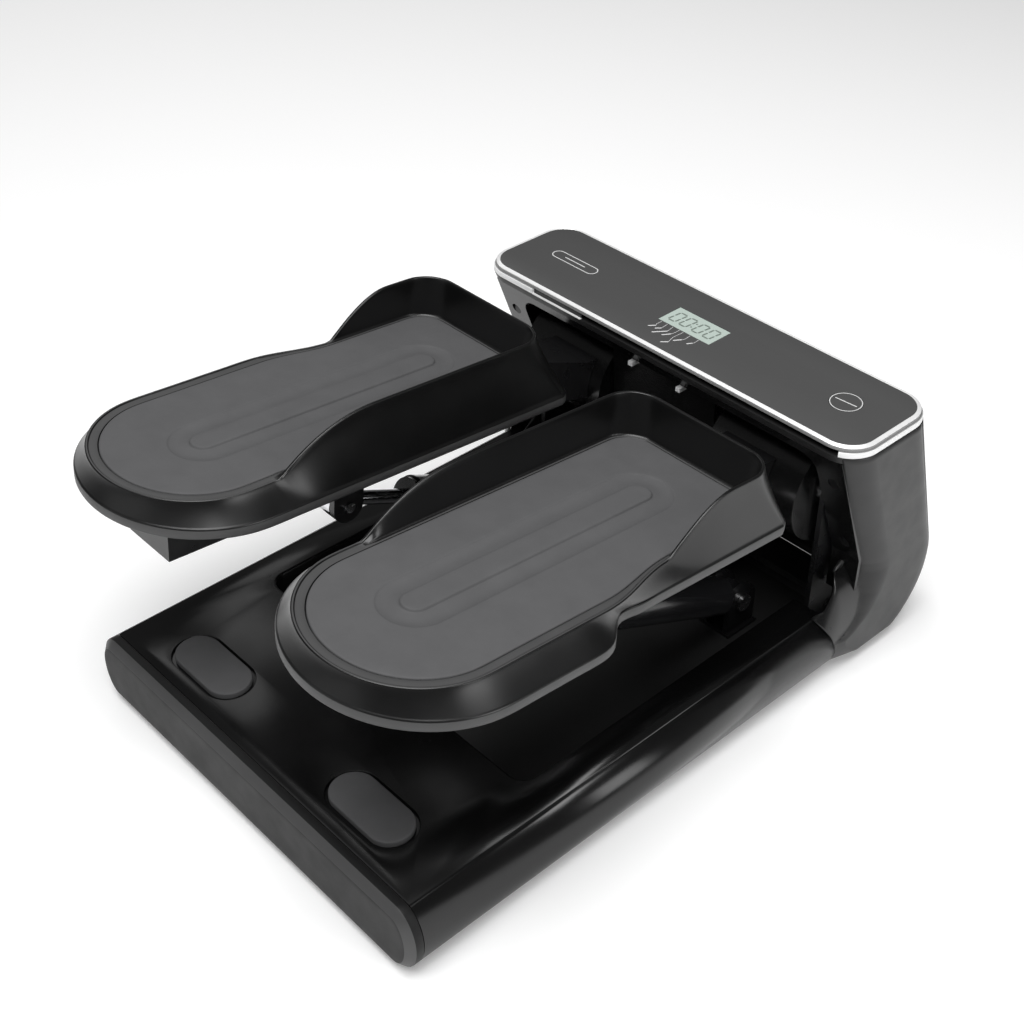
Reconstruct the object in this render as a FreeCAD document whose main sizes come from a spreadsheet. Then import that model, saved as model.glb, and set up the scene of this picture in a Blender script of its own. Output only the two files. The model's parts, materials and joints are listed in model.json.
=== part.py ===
import FreeCAD, Part
import math
import os
import Sketcher
from FreeCAD import Placement, Rotation, Vector

# Under-desk stepper: two foot pedals on long arms that swing on one axle inside
# the front housing, each braked by a hydraulic cylinder, on a flat base with a
# display housing at the front end.
#
# Every piece is drawn in the drawing frame: X to the user's right, Y from the
# rear cap's face towards the housing, Z up from the underside of the base.
# The finished pieces are then moved so that the origin is under the middle.

DIMENSIONS = {
    # whole object
    "mid_depth": 255.75, "foot_rise": 3.0, "wall": 3.0, "gap": 0.2,
    # flat base
    "base_width": 354.0, "base_height": 54.0, "base_corner": 18.0, "cap_depth": 11.5,
    "base_end": 400.0, "tray_rim": 9.0, "tray_end": 465.0, "well_half": 139.0,
    "well_rear": 127.0, "well_corner": 12.0,
    "bumper_x": 89.0, "bumper_y": 42.3, "bumper_length": 70.0, "bumper_width": 33.0,
    "bumper_rise": 2.5, "bumper_seat": 2.0,
    # display housing
    "front_corner": 24.0, "side_top": 184.3, "side_foot": 179.0, "housing_top": 206.0, "front_radius": 58.0,
    "front_lean": 19.6, "glass_half": 179.2, "glass_rear": 386.0, "glass_front": 469.0,
    "glass_top": 214.7, "glass_corner": 20.0, "glass_thick": 3.5, "trim_margin": 5.1,
    "opening_half": 147.0, "display_length": 50.2, "display_width": 24.6,
    "button_x": 139.0, "button_y": 429.3, "button_radius": 11.8,
    # axle and swing arms
    "hinge_y": 428.0, "hinge_z": 142.0, "axle_radius": 8.0, "hub_x": 96.0,
    "hub_width": 84.0, "hub_radius": 24.0, "cover_radius": 43.0, "bush_wall": 3.0,
    "running": 0.05, "side_plate_x": 141.0, "centre_plate_x": 24.0,
    # pedals, drawn level about the middle of the mat's toe edge
    "pedal_x": 112.1, "toe_y": 310.7, "toe_z": 201.3, "tilt": 5.2, "rim_rise": 31.0,
    "skirt_drop": 13.4, "band_drop": 21.4, "floor_drop": 3.0, "roof_drop": 6.2,
    "rib_shift": 4.1, "rib_toe": 55.2, "rib_heel": 240.9, "rib_half": 9.3, "trough_half": 23.5,
    "arm_x": 89.0, "beam_width": 46.0, "beam_depth": 41.4, "beam_rear": 297.0, "beam_wall": 3.0,
    "beam_dip": 18.0, "beam_drop": 16.0,
    # hydraulic cylinders
    "upper_pin_y": 159.0, "upper_pin_z": 143.0, "lower_pin_y": 389.0, "lower_pin_z": 33.0,
    "pin_radius": 4.0, "barrel_radius": 15.5, "barrel_length": 182.0, "rod_radius": 5.5,
    "eye_radius": 13.0, "open_pivot": 4.3,
    # balance rocker
    "rocker_y": 468.0, "ball_radius": 6.0,
}

doc = FreeCAD.newDocument("under_desk_stepper")
dims = doc.addObject("Spreadsheet::Sheet", "dims")
for row, (alias, number) in enumerate(DIMENSIONS.items(), start=1):
    dims.set(f"A{row}", alias)
    dims.set(f"B{row}", str(number))
    dims.setAlias(f"B{row}", alias)
doc.recompute()

pieces = []


def size(alias):
    return float(dims.get(alias))


def finish(piece, label, turn=None, at=None):
    """Names a finished piece and moves it from the drawing frame to the object's frame."""
    if piece.TypeId in ("Part::Box", "Part::Cylinder"):
        piece = group(piece)
    piece.Label = label
    base = Vector(0, -size("mid_depth"), size("foot_rise"))
    piece.Placement = Placement(base + (at or Vector()), turn or Rotation())
    pieces.append(piece)
    return piece


# ---------------------------------------------------------------- drawing helpers

def lines(points):
    """Closed outline of straight edges through (x, y) points."""
    corners = [Vector(x, y, 0) for x, y in points]
    return [Part.LineSegment(a, b) for a, b in zip(corners, corners[1:] + corners[:1])]


def circle(x, y, radius):
    return [Part.Circle(Vector(x, y, 0), Vector(0, 0, 1), radius)]


def rounded(x_low, y_low, x_high, y_high, radius):
    """Closed rectangle whose corners are arcs of one radius."""
    edges = []
    centres = [(x_high - radius, y_low + radius, -90), (x_high - radius, y_high - radius, 0),
               (x_low + radius, y_high - radius, 90), (x_low + radius, y_low + radius, 180)]
    ends = []
    for x, y, start in centres:
        arc = Part.ArcOfCircle(Part.Circle(Vector(x, y, 0), Vector(0, 0, 1), radius),
                               math.radians(start), math.radians(start + 90))
        ends.append((arc.StartPoint, arc.EndPoint))
        edges.append(arc)
    for (_, leave), (arrive, _) in zip(ends, ends[1:] + ends[:1]):
        if leave.distanceToPoint(arrive) > 1e-6:
            edges.append(Part.LineSegment(leave, arrive))
    return edges


def new_body(name):
    return doc.addObject("PartDesign::Body", name)


def extrude(body, axis, edges, start, length, cut=False):
    """Pads (or pockets) an outline along an axis; start and length are expressions.

    Outlines are drawn as (x, y) across Z, (y, z) across X and (x, z) across Y.
    """
    role = {"X": "YZ_Plane", "Y": "XZ_Plane", "Z": "XY_Plane"}[axis]
    plane = next(f for f in body.Origin.OriginFeatures if f.Role == role)
    sketch = body.newObject("Sketcher::SketchObject", "outline")
    sketch.AttachmentSupport = [(plane, "")]
    sketch.MapMode = "FlatFace"
    if axis == "Y":
        offset = f"-({start})" if cut else f"-({start} + {length})"
    else:
        offset = f"{start} + {length}" if cut else start
    sketch.setExpression("AttachmentOffset.Base.z", offset)
    sketch.addGeometry(edges, False)
    feature = body.newObject("PartDesign::Pocket" if cut else "PartDesign::Pad", "step")
    feature.Profile = sketch
    feature.setExpression("Length", length)
    body.Tip = feature
    return feature


def bind(solid, **expressions):
    for name, text in expressions.items():
        solid.setExpression(name, text)
    return solid


def place(solid, x, y, z):
    for axis, text in zip("xyz", (x, y, z)):
        solid.setExpression("Placement.Base." + axis, text)
    return solid


def box(x, y, z, length, width, height):
    solid = bind(doc.addObject("Part::Box", "block"), Length=length, Width=width, Height=height)
    return place(solid, x, y, z)


def rod(axis, x, y, z, radius, length):
    """Cylinder that starts at x, y, z and runs along +X, +Y or +Z."""
    solid = bind(doc.addObject("Part::Cylinder", "round"), Radius=radius, Height=length)
    solid.Placement = Placement(Vector(), {"X": Rotation(Vector(0, 1, 0), 90),
                                           "Y": Rotation(Vector(1, 0, 0), -90),
                                           "Z": Rotation()}[axis])
    return place(solid, x, y, z)


def ball(x, y, z, radius):
    return place(bind(doc.addObject("Part::Sphere", "ball"), Radius=radius), x, y, z)


def fuse(*solids):
    joined = doc.addObject("Part::MultiFuse", "join")
    joined.Shapes = list(solids)
    return joined


def cut(solid, *tools):
    for tool in tools:
        result = doc.addObject("Part::Cut", "cut")
        result.Base = solid
        result.Tool = tool
        solid = result
    return solid


def common(solid, other):
    shared = doc.addObject("Part::Common", "common")
    shared.Base = solid
    shared.Tool = other
    return shared


def group(*solids):
    """Separate solids that share one piece, such as a set of equal screws."""
    together = doc.addObject("Part::Compound", "set")
    together.Links = list(solids)
    return together


# ---------------------------------------------------------------- flat base

def section(inset):
    """Outline of the base across Y: a flat slab whose long sides are half ellipses."""
    flat = size("base_width") / 2 - size("base_corner")
    middle, tall = size("base_height") / 2, size("base_height") / 2 - inset
    wide = size("base_corner") - inset
    edges = []
    for side, start in ((-1, 0), (1, math.pi)):
        centre = Vector(side * flat, middle, 0)
        ellipse = Part.Ellipse(centre + Vector(0, tall, 0), centre + Vector(-wide, 0, 0), centre)
        edges.append(Part.ArcOfEllipse(ellipse, start, start + math.pi))
    for z in (middle - tall, middle + tall):
        edges.append(Part.LineSegment(Vector(-flat, z, 0), Vector(flat, z, 0)))
    return edges


def bumper_outline(side, margin):
    half_length = size("bumper_length") / 2 + margin
    half_width = size("bumper_width") / 2 + margin
    x, y = side * size("bumper_x"), size("bumper_y")
    return rounded(x - half_length, y - half_width, x + half_length, y + half_width,
                   half_width - 0.01)


def base_shell():
    """Glossy upper shell: an inverted trough with the cylinder well let into it."""
    body = new_body("base_shell")
    inner = size("wall")
    extrude(body, "Y", section(0), "dims.cap_depth + dims.gap",
            "dims.base_end - dims.cap_depth - dims.gap")
    extrude(body, "Y", section(inner), "dims.cap_depth",
            "dims.base_end - dims.cap_depth", cut=True)
    wide = size("base_width")
    rim = size("tray_rim") + size("gap")
    extrude(body, "Y", lines([(-wide, -1), (wide, -1), (wide, rim), (-wide, rim)]),
            "dims.cap_depth", "dims.base_end - dims.cap_depth", cut=True)
    half, rear, corner = size("well_half"), size("well_rear"), size("well_corner")
    skirt, past_end = size("wall"), size("base_end") + 30
    extrude(body, "Z", rounded(-half - skirt, rear - skirt, half + skirt, past_end,
                               corner + skirt), "2 * dims.wall + dims.gap",
            "dims.base_height - 2 * dims.wall - dims.gap - 1")
    extrude(body, "Z", rounded(-half, rear, half, past_end + 30, corner), "0",
            "dims.base_height", cut=True)
    extrude(body, "Z", lines([(-wide, size("base_end")), (wide, size("base_end")),
                              (wide, past_end + 1), (-wide, past_end + 1)]),
            "0", "dims.base_height", cut=True)
    for side in (-1, 1):
        extrude(body, "Z", bumper_outline(side, 1.5), "dims.base_height - dims.bumper_seat",
                "dims.bumper_seat", cut=True)
    return finish(body, "base_shell")


def rear_end_cap():
    """Satin cap that closes the user's end of the base."""
    body = new_body("rear_end_cap")
    extrude(body, "Y", section(0), "0", "dims.cap_depth")
    extrude(body, "Y", section(size("wall")), "dims.wall", "dims.cap_depth - dims.wall", cut=True)
    return finish(body, "rear_end_cap")


def bottom_tray():
    """Shallow pan under the whole base, rising at the front with the cover's curve."""
    body = new_body("bottom_tray")
    extrude(body, "Y", section(0), "dims.cap_depth + dims.gap",
            "dims.tray_end + dims.front_radius - dims.cap_depth - dims.gap")
    wide = 2 * size("base_width")
    rim, top = size("tray_rim"), size("base_height")
    extrude(body, "Y", lines([(-wide, rim), (wide, rim), (wide, top + 1), (-wide, top + 1)]),
            "0", "600", cut=True)
    extrude(body, "Y", section(size("wall")), "dims.cap_depth + dims.gap + dims.wall",
            "dims.tray_end - dims.cap_depth - dims.wall", cut=True)
    end, radius = size("tray_end"), size("front_radius")
    reach = end + math.sqrt(radius ** 2 - (radius - rim) ** 2)
    middle = math.radians(-90 + 14)
    curve = Part.Arc(Vector(end, 0, 0),
                     Vector(end + radius * math.cos(middle), radius + radius * math.sin(middle), 0),
                     Vector(reach, rim, 0))
    nose = [curve] + [Part.LineSegment(Vector(*a, 0), Vector(*b, 0)) for a, b in (
        ((reach, rim), (reach + 60, rim)), ((reach + 60, rim), (reach + 60, -1)),
        ((reach + 60, -1), (end, -1)), ((end, -1), (end, 0)))]
    extrude(body, "X", nose, "-dims.base_width", "2 * dims.base_width", cut=True)
    return finish(body, "bottom_tray")


def stop_bumper(side, label):
    """Rubber pad below an arm's rear end, for an arm pushed past its stroke."""
    body = new_body(label)
    extrude(body, "Z", bumper_outline(side, 0), "dims.base_height - dims.bumper_seat",
            "dims.bumper_seat + dims.bumper_rise")
    return finish(body, label)


def rubber_feet():
    feet = [rod("Z", str(x), str(y), "-dims.foot_rise", "13", "dims.foot_rise")
            for x in (-140, 140) for y in (40, 440)]
    return finish(group(*feet), "rubber_feet")


def floor_plate():
    """Steel plate in the pan that carries the axle and cylinder brackets."""
    body = new_body("floor_plate")
    extrude(body, "Z", rounded(-158, 110, 158, 455, 8), "dims.wall", "3")
    return finish(body, "floor_plate")


# ---------------------------------------------------------------- display housing

REAR_TOP, REAR_KNEE = (381.0, 206.0), (424.0, 92.0)
SEAM_TOP = (459.0, 206.0)
SEAM_KNEE = (513.0, 62.0)
SEAM_FOOT = (474.0, 9.2)


def lean():
    return math.radians(size("front_lean"))


def front_y(z):
    """Y of the front face on the centre plane: an arc at the foot, then a leaning line."""
    radius = size("front_radius")
    if z < radius * (1 + math.sin(lean())):
        return size("tray_end") + math.sqrt(radius ** 2 - (radius - z) ** 2)
    foot = size("tray_end") + radius / math.tan((math.pi / 2 - lean()) / 2)
    return foot - math.tan(lean()) * z


def side_x(z):
    foot, top = size("side_foot"), size("side_top")
    return foot + (top - foot) * z / size("housing_top")


def envelope(inset, label):
    """Solid outline of the whole housing: drafted sides, round front corners, curved foot."""
    radius, low = size("front_radius"), SEAM_FOOT[1]
    first, steps = math.asin((low - radius) / radius), 8
    levels = [radius * (1 + math.sin(first + (lean() - first) * k / steps))
              for k in range(steps + 1)] + [size("housing_top")]
    corner, back = size("front_corner") - inset, 350.0
    bend = corner * (1 - math.sqrt(0.5))
    wires = []
    for z in levels:
        x, y = side_x(z) - inset, front_y(z) - inset
        right = Part.Arc(Vector(x, y - corner, z), Vector(x - bend, y - bend, z),
                         Vector(x - corner, y, z)).toShape()
        left = Part.Arc(Vector(corner - x, y, z), Vector(bend - x, y - bend, z),
                        Vector(-x, y - corner, z)).toShape()
        wires.append(Part.Wire([
            Part.makeLine(Vector(x, back, z), Vector(x, y - corner, z)), right,
            Part.makeLine(Vector(x - corner, y, z), Vector(corner - x, y, z)), left,
            Part.makeLine(Vector(-x, y - corner, z), Vector(-x, back, z)),
            Part.makeLine(Vector(-x, back, z), Vector(x, back, z))]))
    outline = doc.addObject("Part::Feature", label)
    outline.Shape = Part.makeLoft(wires, True, True)
    return outline


def seam_edges(shift):
    """Parting line between housing and front cover, from the top down to the pan."""
    top, knee, foot = (Vector(y + shift, z, 0) for y, z in (SEAM_TOP, SEAM_KNEE, SEAM_FOOT))
    bend = Vector(501.6 + shift, 24.7, 0)
    return [Part.LineSegment(top, knee), Part.Arc(knee, bend, foot)], top, foot


def corner_cutter(side):
    """Waste outside a cheek's round rear edge; the edge slopes forward on its way down."""
    x, (y, top) = size("side_top"), REAR_TOP
    radius = size("front_corner")
    corner = Vector(side * (x + 2), y - 2, top)
    on_side, on_rear = Vector(side * x, y + radius, top), Vector(side * (x - radius), y, top)
    bend = radius * (1 - math.sqrt(0.5))
    arc = Part.Arc(on_side, Vector(side * (x - bend), y + bend, top), on_rear).toShape()
    outside = [on_rear, Vector(side * (x - radius), y - 2, top), corner,
               Vector(side * (x + 2), y + radius, top), on_side]
    edges = [Part.makeLine(a, b) for a, b in zip(outside, outside[1:])]
    face = Part.Face(Part.Wire([arc] + edges))
    knee_y, knee_z = REAR_KNEE
    fall = top - knee_z
    tool = doc.addObject("Part::Feature", "corner_waste")
    tool.Shape = face.extrude(Vector(-side * (x - side_x(knee_z)), knee_y - y, -fall))
    return tool


def housing_shell():
    """Satin cheeks and top frame; open behind, in front and above."""
    body = new_body("housing_block")
    seam, top, foot = seam_edges(0)
    low = size("tray_rim") + size("gap")
    step = size("base_height") + size("gap")
    end = size("base_end") + size("gap")
    rear = [(foot.x, low), (end, low), (end, step), (390, step), (390, 58), (398, 58),
            (398, 65), (408, 65), (412, 80), REAR_KNEE, REAR_TOP, (top.x, top.y)]
    walls = [Part.LineSegment(Vector(*a, 0), Vector(*b, 0)) for a, b in zip(rear, rear[1:])]
    extrude(body, "X", seam + walls, "-190", "380")
    # hollow between the cheeks, open to the front cover
    extrude(body, "X", lines([(300, -1), (560, -1), (560, size("housing_top") - 6),
                              (300, size("housing_top") - 6)]), "-172", "344", cut=True)
    # window under the panel
    extrude(body, "Z", rounded(-168, 394, 168, 452, 8), "190", "20", cut=True)
    outline = common(body, envelope(0, "housing_outline"))
    return finish(cut(outline, *[corner_cutter(side) for side in (-1, 1)]), "housing_shell")


def front_cover():
    """Satin shell ahead of the side seam."""
    body = new_body("cover_block")
    seam, top, foot = seam_edges(size("gap"))
    ahead = [(foot.x, foot.y), (560, foot.y), (560, top.y), (top.x, top.y)]
    walls = [Part.LineSegment(Vector(*a, 0), Vector(*b, 0)) for a, b in zip(ahead, ahead[1:])]
    extrude(body, "X", seam + walls, "-190", "380")
    solid = common(body, envelope(0, "cover_outline"))
    return finish(cut(solid, envelope(size("wall"), "cover_hollow")), "front_cover")


PANEL_TOP = (386.4, 199.6)
PANEL_KNEE = (427.4, 94.0)
PANEL_SCREWS = [(side * 160, z) for side in (-1, 1) for z in (108, 172)]


def panel_face(z):
    """Y of the recess panel's rear face at a height."""
    (y_top, z_top), (y_knee, z_knee) = PANEL_TOP, PANEL_KNEE
    return y_knee - max(z - z_knee, 0) * (y_knee - y_top) / (z_top - z_knee)


def recess_panel():
    """Glossy frame round the opening that the arms come out of, with its screw holes."""
    body = new_body("recess_panel")
    (y_top, z_top), (y_knee, z_knee) = PANEL_TOP, PANEL_KNEE
    thick = size("wall")
    face = [PANEL_TOP, PANEL_KNEE, (y_knee, 58), (y_knee + thick, 58),
            (y_knee + thick, z_knee + 0.5), (y_top + thick, z_top)]
    extrude(body, "X", lines(face), "-171.6", "343.2")
    half = size("opening_half")
    extrude(body, "Y", rounded(-half, 40, half, 190, 14), "300", "300", cut=True)
    for x, z in PANEL_SCREWS:
        extrude(body, "Y", circle(x, z, 4.65), "300", "300", cut=True)
    return finish(body, "recess_panel")


def panel_screws():
    """Four screws that hold the recess panel, one at each corner, heads sunk in the panel."""
    screws = []
    for x, z in PANEL_SCREWS:
        y = panel_face(z)
        head = rod("Y", str(x), str(y + 1.6), str(z), "4.6", "4")
        shaft = rod("Y", str(x), str(y + 3), str(z), "2.4", "12")
        screws.append(fuse(shaft, head))
    return finish(group(*screws), "panel_screws")


def ring(body, margin, inner_margin, start, length):
    half, rear, front = size("glass_half"), size("glass_rear"), size("glass_front")
    radius = size("glass_corner")
    extrude(body, "Z", rounded(-half - margin, rear - margin, half + margin, front + margin,
                               radius + margin), start, length)
    extrude(body, "Z", rounded(-half - inner_margin, rear - inner_margin, half + inner_margin,
                               front + inner_margin, radius + inner_margin), start, length, cut=True)


def trim_band():
    """Lower bright band that wraps the sides and front, open across the recess."""
    body = new_body("trim_band")
    ring(body, size("trim_margin"), -6.0, "dims.housing_top + dims.gap", "4.4")
    left, right, rear = -125, size("opening_half") + 18, size("glass_rear")
    extrude(body, "Z", lines([(left, rear - 20), (right, rear - 20), (right, rear + 5.6),
                              (left, rear + 5.6)]), "dims.housing_top", "6", cut=True)
    return finish(body, "trim_band")


def trim_ring():
    """Upper bright bevel that frames the glass."""
    body = new_body("trim_ring")
    ring(body, 3.6, 0.15, "dims.glass_top - 3.9", "3.7")
    return finish(body, "trim_ring")


def top_panel():
    """Dark glass plate with the display window and the button hole."""
    body = new_body("top_panel")
    half, rear, front = size("glass_half"), size("glass_rear"), size("glass_front")
    extrude(body, "Z", rounded(-half, rear, half, front, size("glass_corner")),
            "dims.glass_top - dims.glass_thick", "dims.glass_thick")
    long, wide = size("display_length") / 2, size("display_width") / 2
    y = size("button_y") - 1.5
    extrude(body, "Z", lines([(-long, y - wide), (long, y - wide), (long, y + wide),
                              (-long, y + wide)]), "200", "20", cut=True)
    extrude(body, "Z", circle(size("button_x"), size("button_y"), size("button_radius") + 0.3),
            "200", "20", cut=True)
    return finish(body, "top_panel")


def mode_button():
    """Round key, flush with the glass, that travels straight down."""
    cap = rod("Z", "dims.button_x", "dims.button_y", "dims.glass_top - 3.6",
              "dims.button_radius", "3.6")
    flange = rod("Z", "dims.button_x", "dims.button_y", "dims.glass_top - 5.2",
                 "dims.button_radius + 1.4", "1.5")
    stem = rod("Z", "dims.button_x", "dims.button_y", "dims.glass_top - 8", "3", "5")
    return finish(fuse(cap, flange, stem), "mode_button")


def display_parts():
    long, wide = "dims.display_length", "dims.display_width"
    glass = box(f"-{long} / 2 + 0.2", f"dims.button_y - 1.5 - {wide} / 2 + 0.2",
                "dims.glass_top - 3.3", f"{long} - 0.4", f"{wide} - 0.4", "3.1")
    finish(glass, "display_window")
    board = box("-60", "400", "201", "120", "44", "1.6")
    finish(board, "circuit_board")
    bridge = box("115", "412", "201", "46", "34", "1.6")
    finish(bridge, "button_board")


def battery_parts():
    """Two upright cells in a slim box on the left cheek, closed by a lid."""
    low, tall = "90", "50"
    holder = cut(box("-171.8", "446", low, "14", "26", tall),
                 box("-170.5", "447.3", f"{low} + 1.3", "13", "23.4", f"{tall} - 2.6"))
    finish(holder, "battery_box")
    cells = [rod("Z", "-164.4", y, f"{low} + 2.5", "5.2", "44.5") for y in ("453.2", "464.8")]
    finish(group(*cells), "batteries")
    finish(box("-157.6", "446", low, "1.4", "26", tall), "battery_lid")


# ---------------------------------------------------------------- axle and brackets

def hinge_plate(x):
    """Upright steel plate with the axle hole, standing on the floor plate."""
    foot = "dims.wall + 3"
    plate = box(x, "dims.hinge_y - 16", foot, "4", "38", "dims.hinge_z + 14 - 6")
    flange = box(f"{x} - 8", "dims.hinge_y - 16", foot, "20", "38", "3")
    hole = rod("X", f"{x} - 20", "dims.hinge_y", "dims.hinge_z", "dims.axle_radius", "44")
    return cut(fuse(plate, flange), hole)


def axle_parts():
    finish(hinge_plate("-dims.side_plate_x - 4"), "axle_bracket_left")
    finish(hinge_plate("dims.side_plate_x"), "axle_bracket_right")
    shaft = rod("X", "-160", "dims.hinge_y", "dims.hinge_z", "dims.axle_radius", "320")
    finish(shaft, "pivot_axle")
    collars = [cut(rod("X", x, "dims.hinge_y", "dims.hinge_z", "13", "2.4"),
                   rod("X", x, "dims.hinge_y", "dims.hinge_z", "dims.axle_radius", "2.4"))
               for x in ("-dims.side_plate_x + 0.2", "dims.side_plate_x - 2.6")]
    finish(group(*collars), "axle_collars")


def centre_bracket():
    """Two bright plates with rearward ears; they hold the axle's middle and the rocker's pin."""
    foot, top = "dims.wall + 3", "192"
    plates = [box(x, "408", foot, "4", "40", f"{top} - 6")
              for x in ("-dims.centre_plate_x - 2", "dims.centre_plate_x - 2")]
    plates += [box(x, "386", "186.4", "4", "24", "3.4")
               for x in ("-dims.centre_plate_x - 2", "dims.centre_plate_x - 2")]
    tie = box("-dims.centre_plate_x - 2", "444", "dims.hinge_z - 16", "2 * dims.centre_plate_x + 4",
              "4", "32")
    flange = box("-dims.centre_plate_x - 2", "408", foot, "2 * dims.centre_plate_x + 4", "40", "3")
    hole = rod("X", "-60", "dims.hinge_y", "dims.hinge_z", "dims.axle_radius", "120")
    pin_hole = rod("Y", "0", "440", "dims.hinge_z", "5", "20")
    return finish(cut(fuse(*plates, tie, flange), hole, pin_hole), "centre_bracket")


def centre_cover():
    """Glossy panel between the two arms, in front of the centre bracket."""
    body = new_body("centre_cover")
    foot = 2 * size("wall")
    face = [(399, 186), (405, 90), (403, 56), (403, foot), (400.6, foot), (400.6, 56),
            (402.4, 90), (396.4, 186)]
    extrude(body, "X", lines(face), "-51", "102")
    return finish(body, "centre_cover")


def rocker_parts():
    """Balance rocker: a bar on a middle pin whose forks hold one ball of each arm."""
    y, z = "dims.rocker_y", "dims.hinge_z"
    bar = box("-78", f"{y} - 7", f"{z} - 8", "156", "14", "16")
    boss = rod("Y", "0", f"{y} - 10", z, "16", "20")
    solids = [bar, boss]
    for x in ("-dims.hub_x - 9", "72"):
        solids.append(box(x, f"{y} - 7", f"{z} - 14", "33", "14", "28"))
    slots = [box(x, f"{y} - 10", f"{z} - dims.ball_radius - 0.3", "25", "20",
                 "2 * dims.ball_radius + 0.6") for x in ("-dims.hub_x - 12", "dims.hub_x - 13")]
    bore = rod("Y", "0", f"{y} - 20", z, "5 + dims.running", "40")
    finish(cut(fuse(*solids), *slots, bore), "balance_rocker")
    pin = fuse(rod("Y", "0", "440", z, "5", f"{y} - 440 + 11"),
               rod("Y", "0", f"{y} + 10.4", z, "8", "3"))
    finish(pin, "rocker_pin")


def sensor_parts():
    """Small switch on the centre bracket beside the left hub."""
    finish(box("-48", "dims.hinge_y", "dims.hinge_z + 20", "22", "12", "14"), "reed_sensor")


# ---------------------------------------------------------------- pedals

# Each closed pedal outline is given by: reach towards the middle of the machine,
# reach outwards beside the heel and beside the toe, toe and heel ends, the
# stretch where the outer side narrows, and the toe corner radius.
MAT = dict(inner=62.0, outer=62.0, waist=53.4, toe=2.5, heel=305.4, narrow=(90.0, 150.0),
           corner=20.0)
RIM = dict(inner=70.7, outer=70.7, waist=58.4, toe=-6.0, heel=314.1, narrow=(92.0, 156.0),
           corner=24.0)
BAND = dict(inner=84.8, outer=84.6, waist=66.0, toe=-21.0, heel=321.6, narrow=(140.0, 168.0),
            corner=12.0)


def smooth(t):
    t = min(max(t, 0.0), 1.0)
    return t * t * (3 - 2 * t)


def grown(outline, margin):
    """The same outline, larger by a margin all round."""
    bigger = dict(outline)
    for key in ("inner", "outer", "waist", "heel", "corner"):
        bigger[key] = max(outline[key] + margin, 1.0)
    bigger["toe"] = outline["toe"] - margin
    return bigger


def stations(outline):
    """Ordered points (u, s) round a pedal outline: u outwards, s from toe to heel."""
    inner, outer, waist = outline["inner"], outline["outer"], outline["waist"]
    toe, heel, corner = outline["toe"], outline["heel"], outline["corner"]
    narrow_start, narrow_end = outline["narrow"]
    shoulder = heel - 0.93 * (inner + outer) / 2
    points = []
    for k in range(6):
        points.append((-inner + corner + (inner + waist - 2 * corner) * k / 5, toe))
    for k in range(1, 5):
        turn = math.radians(90 * k / 5)
        points.append((waist - corner + corner * math.sin(turn), toe + corner * (1 - math.cos(turn))))
    side_start = toe + corner
    for k in range(16):
        s = side_start + (shoulder - side_start) * k / 15
        blend = smooth((s - narrow_start) / (narrow_end - narrow_start))
        points.append((waist + (outer - waist) * blend, s))
    for k in range(1, 16):
        turn = math.pi * k / 16
        across = outer if turn < math.pi / 2 else inner
        points.append((across * math.cos(turn), shoulder + (heel - shoulder) * math.sin(turn)))
    for k in range(16):
        points.append((-inner, shoulder + (side_start - shoulder) * k / 15))
    for k in range(1, 5):
        turn = math.radians(90 * k / 5)
        points.append((-inner + corner * (1 - math.cos(turn)), side_start - corner * math.sin(turn)))
    return points


def rim_height(u, s):
    """Height of the wall's top edge over the mat: tall at the toe, flush at the heel."""
    if u < 0:
        start, end = 228.0, 150.0
        rise = 1 - (1 - min(max((start - s) / (start - end), 0.0), 1.0)) ** 2.2
    else:
        start, end = 92.0, 38.0
        rise = math.sin(math.pi / 2 * min(max((start - s) / (start - end), 0.0), 1.0))
    return 0.8 + (size("rim_rise") - 0.8) * rise


def pedal_curve(side, outline, height):
    """Smooth closed edge through an outline's stations; height is a number or a function."""
    points = []
    for u, s in stations(outline):
        z = height(u, s) if callable(height) else height
        points.append(Vector(side * u, -s, z))
    curve = Part.BSplineCurve()
    curve.interpolate(Points=points, PeriodicFlag=True,
                      Parameters=[float(k) for k in range(len(points) + 1)])
    return curve.toShape()


def pedal_turn():
    return Rotation(Vector(1, 0, 0), -size("tilt"))


def pedal_place(side):
    return Vector(side * size("pedal_x"), size("toe_y"), size("toe_z"))


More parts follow.
